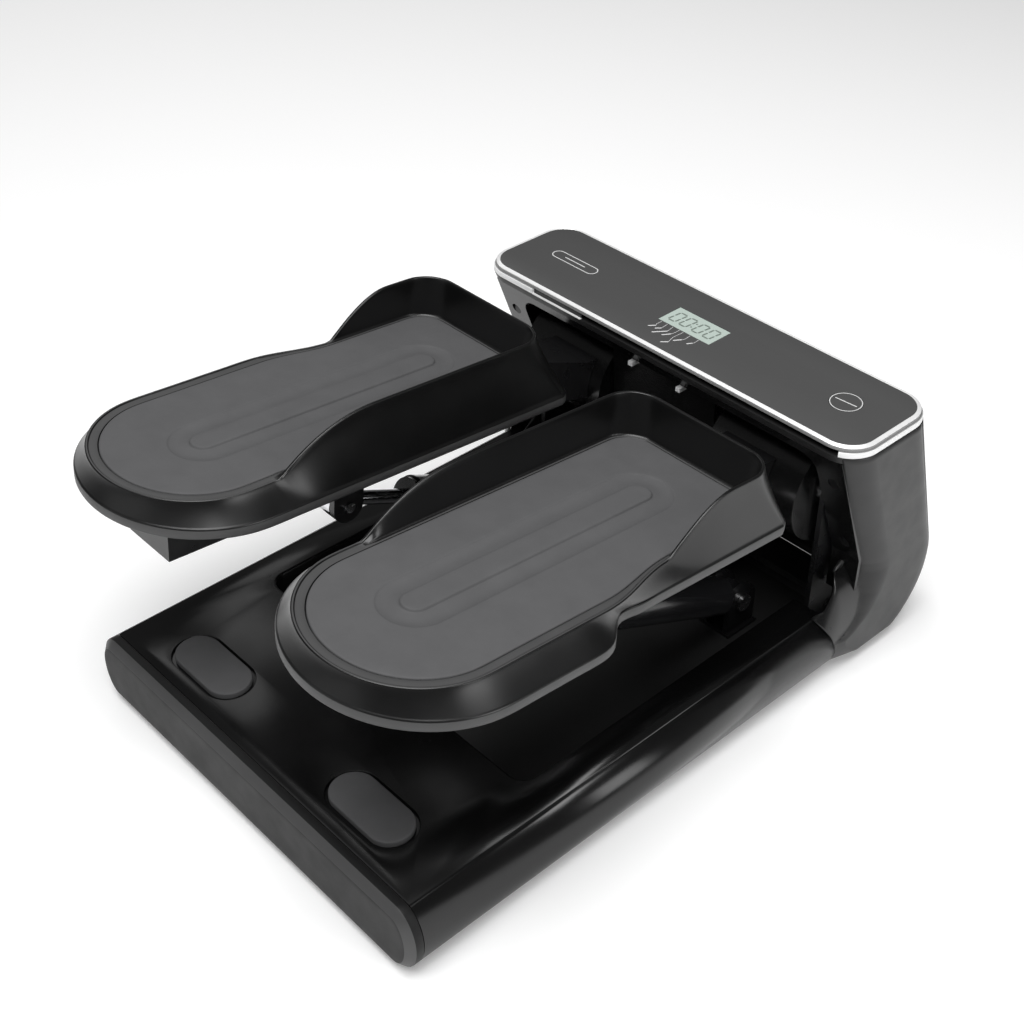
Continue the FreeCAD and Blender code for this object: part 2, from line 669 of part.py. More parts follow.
def pedal_tray(side, label):
    """Dished tray: low band, flared skirt, toe wall and a flat seat for the mat."""
    skirt, band = -size("skirt_drop"), -size("band_drop")
    seat, roof = -size("floor_drop"), -size("roof_drop")
    waistline = {key: (RIM[key] * 0.62 + BAND[key] * 0.38) if key != "narrow" else (110.0, 162.0)
                 for key in RIM}
    rings = [
        pedal_curve(side, BAND, band),
        pedal_curve(side, BAND, skirt),
        pedal_curve(side, waistline, lambda u, s: skirt + 0.55 * (rim_height(u, s) - skirt)),
        pedal_curve(side, RIM, rim_height),
        pedal_curve(side, grown(RIM, -2.4), rim_height),
        pedal_curve(side, grown(MAT, 3.6), 0.0),
        pedal_curve(side, grown(MAT, 0.5), 0.0),
        pedal_curve(side, grown(MAT, 0.5), seat),
    ]
    underside = [
        pedal_curve(side, BAND, band),
        pedal_curve(side, grown(BAND, -3.0), band),
        pedal_curve(side, grown(BAND, -3.0), skirt - 2.5),
        pedal_curve(side, grown(MAT, 2.0), roof),
    ]
    faces = [Part.makeRuledSurface(a, b) for a, b in zip(rings, rings[1:])]
    faces += [Part.makeRuledSurface(a, b) for a, b in zip(underside, underside[1:])]
    faces.append(Part.Face(Part.Wire([rings[-1]])))
    faces.append(Part.Face(Part.Wire([underside[-1]])))
    shell = Part.Shell(Part.Compound(faces).Faces)
    shell.sewShape()
    solid = Part.Solid(shell)
    if solid.Volume < 0:
        solid.reverse()
    half = size("beam_width") / 2 + 0.3
    notch = Part.makeBox(2 * half, 36, 30, Vector(arm_shift(side) - half, -2, roof - 30))
    solid = solid.cut(Part.makeCompound([screw_shape(side, s, 0.15) for s in SCREW_PLACES]))
    solid = solid.cut(notch).cut(beam_block(side, 0.0))
    piece = doc.addObject("Part::Feature", label)
    piece.Shape = solid
    return finish(piece, label, pedal_turn(), pedal_place(side))


SCREW_PLACES = (60.0, 250.0)


def screw_shape(side, s, play):
    """Countersunk screw through the tray's floor into the arm, on the arm's middle plane."""
    seat, roof, x = -size("floor_drop"), -size("roof_drop"), arm_shift(side)
    head = Part.makeCone(3.0 + play, 5.6 + play, 2.6, Vector(x, -s, seat - 2.6))
    shank = Part.makeCylinder(3.0 + play, 8.0, Vector(x, -s, roof - 6.0))
    return head.fuse(shank)


def pedal_screws(side, label):
    piece = doc.addObject("Part::Feature", label)
    piece.Shape = Part.makeCompound([screw_shape(side, s, 0.0) for s in SCREW_PLACES])
    return finish(piece, label, pedal_turn(), pedal_place(side))


def racetrack(side, half, low, height):
    """Upright prism with round ends along the mat's middle, in the pedal's frame."""
    x, toe, heel = side * -size("rib_shift"), -size("rib_toe"), -size("rib_heel")
    ends = [Part.makeCylinder(half, height, Vector(x, y, low)) for y in (toe, heel)]
    middle = Part.makeBox(2 * half, toe - heel, height, Vector(x - half, heel, low))
    return ends[0].fuse(ends[1]).fuse(middle)


def pedal_mat(side, label):
    """Rubber foot mat with one long raised oval set in a shallow racetrack trough."""
    seat = -size("floor_drop") + 0.02
    edge = pedal_curve(side, MAT, seat)
    plate = Part.Face(Part.Wire([edge])).extrude(Vector(0, 0, 0.7 - seat))
    trough = racetrack(side, size("trough_half"), -0.9, 3.0)
    rib = racetrack(side, size("rib_half"), -1.4, 2.3)
    piece = doc.addObject("Part::Feature", label)
    piece.Shape = plate.cut(trough).fuse(rib).removeSplitter()
    return finish(piece, label, pedal_turn(), pedal_place(side))


# ---------------------------------------------------------------- swing arms

def arm_shift(side):
    """The arm's middle plane in its pedal's frame."""
    return side * (size("arm_x") - size("pedal_x"))


def in_pedal_frame(y, z):
    """Drawing-frame (y, z) written in the pedal's own level frame."""
    turn = math.radians(size("tilt"))
    back, rise = y - size("toe_y"), z - size("toe_z")
    return (back * math.cos(turn) - rise * math.sin(turn),
            back * math.sin(turn) + rise * math.cos(turn))


def beam_block(side, margin):
    """Box beam's outline in the pedal's frame, grown by a margin; its top dips to the hub."""
    hub_y, _ = in_pedal_frame(size("hinge_y"), size("hinge_z"))
    half = size("beam_width") / 2 + margin
    rear, front = -size("beam_rear") - margin, hub_y - 12 + margin
    top = -size("roof_drop") - 0.02 + margin
    low, dipped = top - size("beam_depth") - 2 * margin, top - size("beam_dip")
    profile = [(rear, low), (40, low), (front, low - size("beam_drop")), (front, dipped),
               (76, dipped), (20, top), (rear, top)]
    corners = [Vector(arm_shift(side) - half, y, z) for y, z in profile]
    face = Part.Face(Part.makePolygon(corners + corners[:1]))
    return face.extrude(Vector(2 * half, 0, 0))


def swing_arm(side, label):
    """Box beam under the pedal, hub block on the axle, cylinder lugs and front horn."""
    hub_y, hub_z = in_pedal_frame(size("hinge_y"), size("hinge_z"))
    pin_y, pin_z = in_pedal_frame(size("upper_pin_y"), size("upper_pin_z"))
    wall, middle = size("beam_wall"), arm_shift(side)
    top = -size("roof_drop") - 0.02
    hollow = Part.makeBox(size("beam_width") - 2 * wall, size("beam_rear") - wall + 12,
                          size("beam_depth") - 2 * wall,
                          Vector(middle - size("beam_width") / 2 + wall,
                                 wall - size("beam_rear"), top - size("beam_depth") + wall))
    beam = beam_block(side, 0).cut(hollow)
    hub_middle = side * (size("hub_x") - size("pedal_x"))
    along = Vector(1, 0, 0)
    hub_start = Vector(hub_middle - size("hub_width") / 2 + 1.2, hub_y, hub_z)
    hub = Part.makeCylinder(size("hub_radius"), size("hub_width") - 2.4, hub_start, along)
    solids = [hub]
    beam_low = -size("roof_drop") - size("beam_depth")
    for x in (middle - 13.5, middle + 8.5):
        lug = Part.makeBox(5, 26, beam_low - pin_z, Vector(x, pin_y - 13, pin_z))
        tip = Part.makeCylinder(13, 5, Vector(x, pin_y, pin_z), along)
        solids += [lug, tip]
    horn = Part.makeBox(12, 26, 18, Vector(hub_middle - 6, 0, -9))
    horn.Placement = Placement(Vector(0, hub_y, hub_z), Rotation(along, size("tilt")))
    for solid in solids + [horn]:
        beam = beam.fuse(solid)
    bush_hole = size("axle_radius") + size("bush_wall")
    beam = beam.cut(Part.makeCylinder(bush_hole, 120, Vector(hub_middle - 60, hub_y, hub_z), along))
    beam = beam.cut(Part.makeCylinder(size("pin_radius"), 60, Vector(middle - 30, pin_y, pin_z),
                                      along))
    for s in SCREW_PLACES:
        beam = beam.cut(Part.makeCylinder(3.0, 20, Vector(middle, -s, -size("roof_drop") - 19)))
    piece = doc.addObject("Part::Feature", label)
    piece.Shape = beam.removeSplitter()
    return finish(piece, label, pedal_turn(), pedal_place(side))


def hub_cover(side, label):
    """Rounded plastic cover over the rear and top of the hub, notched for the beam."""
    start = side * size("hub_x") - size("hub_width") / 2
    at_hub = Vector(start, size("hinge_y"), size("hinge_z"))
    along = Vector(1, 0, 0)
    width, outer = size("hub_width"), size("cover_radius")
    shell = Part.makeCylinder(outer, width, at_hub, along)
    shell = shell.cut(Part.makeCylinder(outer - 2.6, width - 2.2, at_hub + along * 1.1, along))
    shell = shell.cut(Part.makeCylinder(size("axle_radius") + size("bush_wall"), width + 2,
                                        at_hub - along, along))
    front = Part.makeBox(width + 2, 60, 2 * outer + 2, at_hub + Vector(-1, 20, -outer - 1))
    passage = beam_block(side, 0.1)
    passage.Placement = Placement(pedal_place(side), pedal_turn())
    piece = doc.addObject("Part::Feature", label)
    piece.Shape = shell.cut(front).cut(passage)
    return finish(piece, label)


def hub_bushes(side, label):
    """Two flanged plain bearings pressed into the hub."""
    middle = side * size("hub_x")
    half = size("hub_width") / 2 - 1.2
    bore = size("axle_radius") + size("running")
    outer = size("axle_radius") + size("bush_wall")
    solids = []
    for end in (-1, 1):
        inner_face = middle + end * (half - 16)
        start = Vector(min(inner_face, middle + end * half), size("hinge_y"), size("hinge_z"))
        sleeve = Part.makeCylinder(outer, 16, start, Vector(1, 0, 0))
        solids.append(sleeve.cut(Part.makeCylinder(bore, 16, start, Vector(1, 0, 0))))
    piece = doc.addObject("Part::Feature", label)
    piece.Shape = Part.makeCompound(solids)
    return finish(piece, label)


def ball_stud(side, label):
    """Ball on a short neck at the horn's tip; it rides in the rocker's fork."""
    x = f"{side} * dims.hub_x"
    head = ball(x, "dims.rocker_y", "dims.hinge_z", "dims.ball_radius")
    neck = rod("Y", x, "dims.hinge_y + 26", "dims.hinge_z", "3", "dims.rocker_y - dims.hinge_y - 26")
    return finish(fuse(head, neck), label)


def upper_pin(side, label):
    x = f"{side} * dims.arm_x - 16"
    return finish(rod("X", x, "dims.upper_pin_y", "dims.upper_pin_z", "dims.pin_radius", "32"), label)


def step_magnet():
    """Small magnet on the left hub that the sensor counts."""
    x = -(size("hub_x") - size("hub_width") / 2)
    piece = doc.addObject("Part::Feature", "step_magnet")
    piece.Shape = Part.makeCylinder(4, 2.4, Vector(x, size("hinge_y") + 6, size("hinge_z") + 27),
                                    Vector(1, 0, 0))
    return finish(piece, "step_magnet")


# ---------------------------------------------------------------- hydraulic cylinders

def cylinder_axis():
    """Length between pins and the turn that lays +Y-to-rear drawings along the cylinder."""
    back = size("lower_pin_y") - size("upper_pin_y")
    rise = size("upper_pin_z") - size("lower_pin_z")
    return math.hypot(back, rise), math.degrees(math.atan2(rise, back))


def along_cylinder(side):
    """Placement parts of a piece drawn from the lower pin along -Y."""
    _, lift = cylinder_axis()
    return (Rotation(Vector(1, 0, 0), -lift),
            Vector(side * size("arm_x"), size("lower_pin_y"), size("lower_pin_z")))


def from_pin(distance, radius, length):
    """Round bar on the cylinder's axis, from a distance past the lower pin."""
    return Part.makeCylinder(radius, length, Vector(0, -distance, 0), Vector(0, -1, 0))


def cylinder_barrel(side, label):
    pin, reach = size("pin_radius"), size("barrel_length")
    eye = Part.makeCylinder(11, 14, Vector(-7, 0, 0), Vector(1, 0, 0))
    neck = from_pin(6, 8, 14)
    tube = from_pin(18, size("barrel_radius"), reach - 18)
    solid = eye.fuse(neck).fuse(tube)
    solid = solid.cut(from_pin(26, size("barrel_radius") - 2.5, reach))
    solid = solid.cut(Part.makeCylinder(pin + size("running"), 20, Vector(-10, 0, 0), Vector(1, 0, 0)))
    piece = doc.addObject("Part::Feature", label)
    piece.Shape = solid
    return finish(piece, label, *along_cylinder(side))


def gland_cap(side, label):
    """Screwed cap that guides the rod at the barrel's open end."""
    reach = size("barrel_length")
    cap = from_pin(reach - 8, size("barrel_radius") - 2.5, 8)
    cap = cap.fuse(from_pin(reach, size("barrel_radius") - 1.5, 5))
    cap = cap.cut(from_pin(reach - 20, size("rod_radius") + size("running"), 40))
    piece = doc.addObject("Part::Feature", label)
    piece.Shape = cap
    return finish(piece, label, *along_cylinder(side))


def piston_rod(side, label):
    """Bright rod with its piston and the end eye that takes the arm's pin."""
    between, _ = cylinder_axis()
    reach = size("barrel_length")
    solid = from_pin(reach - 60, size("rod_radius"), between - reach + 60 - size("eye_radius") + 2)
    solid = solid.fuse(from_pin(reach - 66, size("barrel_radius") - 2.7, 12))
    eye = Part.makeCylinder(size("eye_radius"), 15, Vector(-7.5, -between, 0), Vector(1, 0, 0))
    solid = solid.fuse(eye)
    hole = Part.makeCylinder(size("pin_radius") + size("open_pivot"), 20,
                             Vector(-10, -between, 0), Vector(1, 0, 0))
    piece = doc.addObject("Part::Feature", label)
    piece.Shape = solid.cut(hole).removeSplitter()
    return finish(piece, label, *along_cylinder(side))


def cylinder_bracket(side, label):
    """U-bracket on the floor plate that holds the cylinder's lower pin."""
    middle, y, z = size("arm_x") * side, size("lower_pin_y"), size("lower_pin_z")
    low = size("wall") + 3
    solid = Part.makeBox(30, 32, 3, Vector(middle - 15, y - 16, low))
    for x in (middle - 12, middle + 8):
        plate = Part.makeBox(4, 30, z - low, Vector(x, y - 15, low))
        crown = Part.makeCylinder(15, 4, Vector(x, y, z), Vector(1, 0, 0))
        solid = solid.fuse(plate).fuse(crown)
    solid = solid.cut(Part.makeCylinder(size("pin_radius"), 60, Vector(middle - 30, y, z),
                                        Vector(1, 0, 0)))
    piece = doc.addObject("Part::Feature", label)
    piece.Shape = solid.removeSplitter()
    return finish(piece, label)


def lower_pin(side, label):
    x = f"{side} * dims.arm_x"
    shaft = rod("X", f"{x} - 15", "dims.lower_pin_y", "dims.lower_pin_z", "dims.pin_radius", "30")
    heads = [rod("X", f"{x} {end}", "dims.lower_pin_y", "dims.lower_pin_z", "7", "3")
             for end in ("- 15.2", "+ 12.2")]
    return finish(fuse(shaft, *heads), label)


def floor_screws():
    """Cap screws that fix the pan, the plate and the brackets together."""
    screws = [rod("Z", str(x), str(y), "dims.wall + 3", "4.5", "3.4")
              for x in (-152, 152) for y in (122, 200)]
    return finish(group(*screws), "floor_screws")


# ---------------------------------------------------------------- assembly

base_shell()
rear_end_cap()
bottom_tray()
rubber_feet()
floor_plate()
floor_screws()
housing_shell()
front_cover()
recess_panel()
panel_screws()
trim_band()
trim_ring()
top_panel()
mode_button()
display_parts()
battery_parts()
axle_parts()
centre_bracket()
centre_cover()
rocker_parts()
sensor_parts()
step_magnet()
for hand, direction in (("left", -1), ("right", 1)):
    stop_bumper(direction, "stop_bumper_" + hand)
    pedal_tray(direction, "pedal_tray_" + hand)
    pedal_mat(direction, "pedal_mat_" + hand)
    pedal_screws(direction, "pedal_screws_" + hand)
    swing_arm(direction, "swing_arm_" + hand)
    hub_cover(direction, "hub_cover_" + hand)
    hub_bushes(direction, "hub_bushes_" + hand)
    ball_stud(direction, "ball_stud_" + hand)
    upper_pin(direction, "upper_pin_" + hand)
    cylinder_barrel(direction, "cylinder_barrel_" + hand)
    gland_cap(direction, "gland_cap_" + hand)
    piston_rod(direction, "piston_rod_" + hand)
    cylinder_bracket(direction, "cylinder_bracket_" + hand)
    lower_pin(direction, "lower_pin_" + hand)

doc.recompute()
faults = [f"{thing.Label}: {thing.State}" for thing in doc.Objects
          if {"Invalid", "Error"} & set(thing.State)]
faults += [f"{piece.Label}: empty or invalid shape" for piece in pieces
           if piece.Shape.isNull() or not piece.Shape.isValid() or piece.Shape.Volume <= 0]
if faults:
    raise SystemExit("\n".join(faults))

os.makedirs("parts", exist_ok=True)
whole = FreeCAD.BoundBox()
for piece in pieces:
    piece.Shape.exportStep(f"parts/{piece.Label}.step")
    whole.add(piece.Shape.BoundBox)
print(len(pieces), "pieces;", "box", whole)
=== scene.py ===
import json
import math

import bmesh
import bpy
import numpy as np
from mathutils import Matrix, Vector
from mathutils.geometry import tessellate_polygon


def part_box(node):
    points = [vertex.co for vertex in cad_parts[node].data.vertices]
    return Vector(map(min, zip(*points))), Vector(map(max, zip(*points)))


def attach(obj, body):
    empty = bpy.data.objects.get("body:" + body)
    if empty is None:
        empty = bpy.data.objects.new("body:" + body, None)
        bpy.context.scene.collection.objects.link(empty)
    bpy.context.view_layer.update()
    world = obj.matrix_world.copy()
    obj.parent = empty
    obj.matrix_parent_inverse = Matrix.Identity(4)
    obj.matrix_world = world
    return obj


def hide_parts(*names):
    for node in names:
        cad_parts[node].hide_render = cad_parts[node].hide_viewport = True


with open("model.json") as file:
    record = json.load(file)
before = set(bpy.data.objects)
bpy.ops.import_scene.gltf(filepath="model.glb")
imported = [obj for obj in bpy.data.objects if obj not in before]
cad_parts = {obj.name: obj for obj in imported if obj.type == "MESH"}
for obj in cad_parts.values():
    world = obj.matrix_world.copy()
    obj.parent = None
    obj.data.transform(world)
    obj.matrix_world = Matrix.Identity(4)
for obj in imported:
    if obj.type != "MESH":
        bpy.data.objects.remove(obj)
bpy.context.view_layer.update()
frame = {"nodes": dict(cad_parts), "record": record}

MM = 0.001
SIDES = {"left": -1, "right": 1}

# The drawing frame is in millimetres: X to the user's right, Y forward from the
# rear cap's face, Z up from the underside of the base.
cap_low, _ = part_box("rear_end_cap")
REAR_Y, BASE_Z = cap_low.y, cap_low.z


def point(x, y, z):
    """Drawing frame in millimetres to the row frame in metres."""
    return Vector((x * MM, y * MM + REAR_Y, z * MM + BASE_Z))


# ------------------------------------------------------------------ camera

CAMERA_AZIMUTH, CAMERA_ELEVATION = 47.49, 37.73
CAMERA_LENS = 55.68


def make_camera():
    data = bpy.data.cameras.new("camera")
    data.lens = CAMERA_LENS
    data.sensor_width = 36.0
    data.clip_start, data.clip_end = 0.01, 50
    camera = bpy.data.objects.new("camera", data)
    bpy.context.scene.collection.objects.link(camera)
    camera.location = point(652.6, -353.0, 821.1)
    a, e = math.radians(CAMERA_AZIMUTH), math.radians(CAMERA_ELEVATION)
    forward = Vector((-math.sin(a) * math.cos(e), math.cos(a) * math.cos(e), -math.sin(e)))
    camera.rotation_mode = "QUATERNION"
    camera.rotation_quaternion = forward.to_track_quat("-Z", "Y")
    bpy.context.scene.camera = camera


# ------------------------------------------------------------------ light and floor

def make_world():
    """Dim grey surroundings, so that glossy black mirrors mostly dark between the lights."""
    world = bpy.data.worlds.new("studio")
    world.use_nodes = True
    background = world.node_tree.nodes["Background"]
    background.inputs["Color"].default_value = (1.0, 1.0, 1.0, 1.0)
    background.inputs["Strength"].default_value = 0.10
    bpy.context.scene.world = world
    bpy.context.scene.view_settings.view_transform = "Standard"


def area_light(name, at, target, width, height, power):
    data = bpy.data.lights.new(name, "AREA")
    data.shape = "RECTANGLE"
    data.size, data.size_y = width, height
    data.energy = power
    light = bpy.data.objects.new(name, data)
    light.location = at
    light.rotation_mode = "QUATERNION"
    light.rotation_quaternion = (Vector(target) - Vector(at)).to_track_quat("-Z", "Y")
    bpy.context.scene.collection.objects.link(light)
    return light


def make_lights():
    centre = (0.0, 0.0, 0.12)
    area_light("key_overhead", (0.3, -0.5, 2.3), centre, 1.8, 1.8, 66)
    area_light("fill_user_side", (-0.6, -2.3, 1.0), centre, 1.8, 1.0, 3)
    area_light("fill_right", (2.4, 0.5, 1.2), centre, 1.2, 1.2, 18)
    # Two cards that only show as soft shapes mirrored in the glossy base.
    area_light("card_far_left", (-2.15, 0.55, 1.6), (-2.1, 0.5, 0.0), 1.1, 1.5, 5)
    area_light("card_strip", (-1.04, 0.62, 1.6), (-1.0, 0.6, 0.0), 0.2, 0.75, 0.45)


def make_floor():
    """Pale floor with a faint glow of its own, which keeps the far part near white."""
    mesh = bpy.data.meshes.new("floor")
    half = 6.0
    mesh.from_pydata([(-half, -half, 0), (half, -half, 0), (half, half, 0), (-half, half, 0)], [],
                     [(0, 1, 2, 3)])
    floor = bpy.data.objects.new("floor", mesh)
    bpy.context.scene.collection.objects.link(floor)
    material = bpy.data.materials.new("floor")
    material.use_nodes = True
    shader = material.node_tree.nodes["Principled BSDF"]
    shader.inputs["Base Color"].default_value = (0.92, 0.92, 0.92, 1)
    shader.inputs["Roughness"].default_value = 0.9
    shader.inputs["Emission Color"].default_value = (1, 1, 1, 1)
    shader.inputs["Emission Strength"].default_value = 0.15
    mesh.materials.append(material)


# ------------------------------------------------------------------ materials

class Surface:
    """Small helper round one Principled material and its node tree."""

    def __init__(self, name, color, roughness, metallic=0.0, **sockets):
        self.material = bpy.data.materials.new(name)
        self.material.use_nodes = True
        self.tree = self.material.node_tree
        self.shader = self.tree.nodes["Principled BSDF"]
        self.set("Base Color", (*color, 1.0))
        self.set("Roughness", roughness)
        self.set("Metallic", metallic)
        for socket, number in sockets.items():
            self.set(socket.replace("_", " "), number)
        self.color, self.roughness = color, roughness
        self.height = None

    def set(self, socket, number):
        self.shader.inputs[socket].default_value = number

    def node(self, kind, **settings):
        made = self.tree.nodes.new(kind)
        for key, number in settings.items():
            setattr(made, key, number)
        return made

    def link(self, source, target):
        self.tree.links.new(source, target)

    def noise(self, scale, detail=3.0, stretch=(1, 1, 1)):
        """Noise in object space; scale is in features per metre."""
        place = self.node("ShaderNodeTexCoord")
        mapping = self.node("ShaderNodeMapping")
        mapping.inputs["Scale"].default_value = stretch
        texture = self.node("ShaderNodeTexNoise")
        texture.inputs["Scale"].default_value = scale
        texture.inputs["Detail"].default_value = detail
        self.link(place.outputs["Object"], mapping.inputs["Vector"])
        self.link(mapping.outputs["Vector"], texture.inputs["Vector"])
        return texture.outputs["Fac"]

    def spread(self, source, low, high):
        remap = self.node("ShaderNodeMapRange")
        remap.inputs["From Min"].default_value = 0.3
        remap.inputs["From Max"].default_value = 0.7
        remap.inputs["To Min"].default_value = low
        remap.inputs["To Max"].default_value = high
        self.link(source, remap.inputs["Value"])
        return remap.outputs["Result"]

    def vary_roughness(self, scale, amount, stretch=(1, 1, 1)):
        rough = self.spread(self.noise(scale, 4.0, stretch), self.roughness - amount,
                            self.roughness + amount)
        self.link(rough, self.shader.inputs["Roughness"])
        return self

    def vary_color(self, scale, amount):
        """Slight light and dark patches in the base colour."""
        ramp = self.node("ShaderNodeValToRGB")
        ramp.color_ramp.elements[0].position = 0.3
        ramp.color_ramp.elements[1].position = 0.7
        ramp.color_ramp.elements[0].color = (*[c * (1 - amount) for c in self.color], 1)
        ramp.color_ramp.elements[1].color = (*[c * (1 + amount) for c in self.color], 1)
        self.link(self.noise(scale, 3.0), ramp.inputs["Fac"])
        self.link(ramp.outputs["Color"], self.shader.inputs["Base Color"])
        return self

    def bump(self, scale, depth, strength=1.0, detail=2.0, stretch=(1, 1, 1)):
        """Fine relief; depth in metres. Calls stack."""
        bump = self.node("ShaderNodeBump")
        bump.inputs["Strength"].default_value = strength
        bump.inputs["Distance"].default_value = depth
        self.link(self.noise(scale, detail, stretch), bump.inputs["Height"])
        if self.height is not None:
            self.link(self.height, bump.inputs["Normal"])
        self.height = bump.outputs["Normal"]
        self.link(self.height, self.shader.inputs["Normal"])
        return self


def make_materials():
    made = {}

    def keep(slot, surface):
        made[slot] = surface.material

    keep("gloss_black", Surface("gloss_black", (0.0035, 0.0035, 0.0036), 0.24)
         .vary_roughness(26, 0.035).bump(420, 0.00002, 0.25))
    keep("satin_black", Surface("satin_black", (0.019, 0.019, 0.0192), 0.42, Specular_IOR_Level=0.4)
         .vary_roughness(60, 0.04).vary_color(40, 0.06).bump(3200, 0.00003, 0.35))
    keep("grey_rubber", Surface("grey_rubber", (0.072, 0.072, 0.074), 0.78)
         .vary_roughness(90, 0.06).vary_color(55, 0.05).bump(2600, 0.00006, 0.5))
    keep("panel_glass_grey", Surface("panel_glass_grey", (0.066, 0.066, 0.066), 0.4,
                                     Specular_IOR_Level=0.3)
         .vary_roughness(30, 0.03).bump(900, 0.00001, 0.15))
    keep("display_glass", Surface("display_glass", (0.42, 0.49, 0.45), 0.4)
         .vary_color(60, 0.03))
    keep("bright_trim", Surface("bright_trim", (0.88, 0.88, 0.88), 0.36, metallic=0.3)
         .vary_roughness(120, 0.04).bump(1500, 0.00001, 0.15))
    # Darker copy of the bright trim: painted shade on the skirt's upright face and on the narrow
    # ledge under it.
    keep("trim_painted_shade", Surface("trim_painted_shade", (0.27, 0.27, 0.27), 0.5, metallic=0.2)
         .vary_roughness(120, 0.04).bump(1500, 0.00001, 0.15))
    keep("tray_black", Surface("tray_black", (0.0035, 0.0035, 0.0036), 0.31)
         .vary_roughness(40, 0.03).bump(900, 0.00002, 0.2))
    # Lighter satin grey: painted light on the trays' flat ring and low band and on the end cap's
    # chamfer; the bottom tray wears it too.
    keep("satin_and_painted_light", Surface("satin_and_painted_light", (0.05, 0.05, 0.0505), 0.5)
         .vary_roughness(60, 0.04).vary_color(40, 0.05).bump(2600, 0.00002, 0.3))
    keep("cap_black", Surface("cap_black", (0.008, 0.008, 0.0081), 0.5, Specular_IOR_Level=0.2)
         .vary_roughness(60, 0.04).vary_color(40, 0.06).bump(3200, 0.00003, 0.35))
    keep("black_steel", Surface("black_steel", (0.008, 0.008, 0.0085), 0.3)
         .vary_roughness(80, 0.04).bump(1400, 0.00001, 0.25))
    keep("bright_steel", Surface("bright_steel", (0.62, 0.62, 0.63), 0.24, metallic=1.0)
         .vary_roughness(300, 0.07).bump(2500, 0.00002, 0.3, stretch=(1, 1, 0.05)))
    keep("chrome_rod", Surface("chrome_rod", (0.72, 0.72, 0.74), 0.08, metallic=1.0)
         .vary_roughness(200, 0.03))
    keep("cylinder_paint", Surface("cylinder_paint", (0.012, 0.012, 0.013), 0.22, Coat_Weight=0.4,
                                   Coat_Roughness=0.1)
         .vary_roughness(70, 0.05).bump(700, 0.00003, 0.3))
    keep("rocker_metal", Surface("rocker_metal", (0.10, 0.10, 0.10), 0.55, metallic=0.7)
         .vary_roughness(120, 0.08).vary_color(90, 0.2).bump(900, 0.00012, 0.5))
    keep("bronze_bush", Surface("bronze_bush", (0.50, 0.33, 0.15), 0.32, metallic=1.0)
         .vary_roughness(200, 0.06).vary_color(150, 0.12))
    keep("circuit_green", Surface("circuit_green", (0.02, 0.13, 0.05), 0.4)
         .vary_color(400, 0.25).bump(900, 0.00005, 0.3))
    keep("dark_plastic", Surface("dark_plastic", (0.03, 0.03, 0.03), 0.5)
         .vary_roughness(80, 0.05).bump(2400, 0.00004, 0.4))
    keep("print_light", Surface("print_light", (0.62, 0.62, 0.62), 0.5).vary_color(400, 0.04))
    keep("display_ink", Surface("display_ink", (0.16, 0.19, 0.17), 0.45).vary_color(300, 0.05))
    keep("cell_wrap", Surface("cell_wrap", (0.07, 0.10, 0.26), 0.35)
         .vary_roughness(60, 0.05).vary_color(80, 0.08))
    return made


MATERIALS = make_materials()
SLOT_OF = {part["node"]: part["material_slot"] for part in frame["record"]["subparts"]}


# ------------------------------------------------------------------ mesh helpers

def ring_mesh(name, rings, closed=True, cap_first=False, cap_last=False, sharp=38):
    """Skin through rings of equal point counts, shaded smooth up to an edge angle."""
    count = len(rings[0])
    around = count if closed else count - 1
    faces = []
    for r in range(len(rings) - 1):
        for k in range(around):
            a, b = r * count + k, r * count + (k + 1) % count
            faces.append((a, b, b + count, a + count))
    if cap_first:
        faces.append(tuple(reversed(range(count))))
    if cap_last:
        start = count * (len(rings) - 1)
        faces.append(tuple(range(start, start + count)))
    return mesh_from(name, [p for ring in rings for p in ring], faces, sharp)


def mesh_from(name, vertices, faces, sharp=38):
    mesh = bpy.data.meshes.new(name)
    mesh.from_pydata([tuple(v) for v in vertices], [], faces)
    tidy_mesh(mesh, sharp)
    return mesh


def tidy_mesh(mesh, sharp=38):
    """Merges doubled corners, turns normals outward and marks the sharp edges."""
    work = bmesh.new()
    work.from_mesh(mesh)
    bmesh.ops.remove_doubles(work, verts=work.verts, dist=2e-6)
    bmesh.ops.dissolve_degenerate(work, edges=work.edges, dist=1e-6)
    bmesh.ops.recalc_face_normals(work, faces=work.faces)
    for face in work.faces:
        face.smooth = True
    work.to_mesh(mesh)
    work.free()
    mesh.set_sharp_from_angle(angle=math.radians(sharp))


def join_meshes(name, meshes, sharp=38):
    """One mesh from several, with shared borders merged."""
    work = bmesh.new()
    for mesh in meshes:
        work.from_mesh(mesh)
        bpy.data.meshes.remove(mesh)
    joined = bpy.data.meshes.new(name)
    work.to_mesh(joined)
    work.free()
    tidy_mesh(joined, sharp)
    return joined


def add_piece(name, mesh, body, slot, replaces=(), look=None):
    """Adds a piece to a body; look names a material other than the slot's own."""
    piece = bpy.data.objects.new(name, mesh)
    bpy.context.scene.collection.objects.link(piece)
    mesh.materials.append(MATERIALS[look or slot])
    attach(piece, body)
    if replaces:
        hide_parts(*replaces)
    return piece


def thicken(piece, depth, offset=-1.0):
    solid = piece.modifiers.new("wall", "SOLIDIFY")
    solid.thickness = depth * MM
    solid.offset = offset
    solid.use_even_offset = True
    return solid


def offset_loop(loop, margin):
    """Closed counter-clockwise outline moved outwards by a margin."""
    along = np.roll(loop, -1, axis=0) - np.roll(loop, 1, axis=0)
    along /= np.linalg.norm(along, axis=1)[:, None]
    return loop + margin * np.column_stack([along[:, 1], -along[:, 0]])


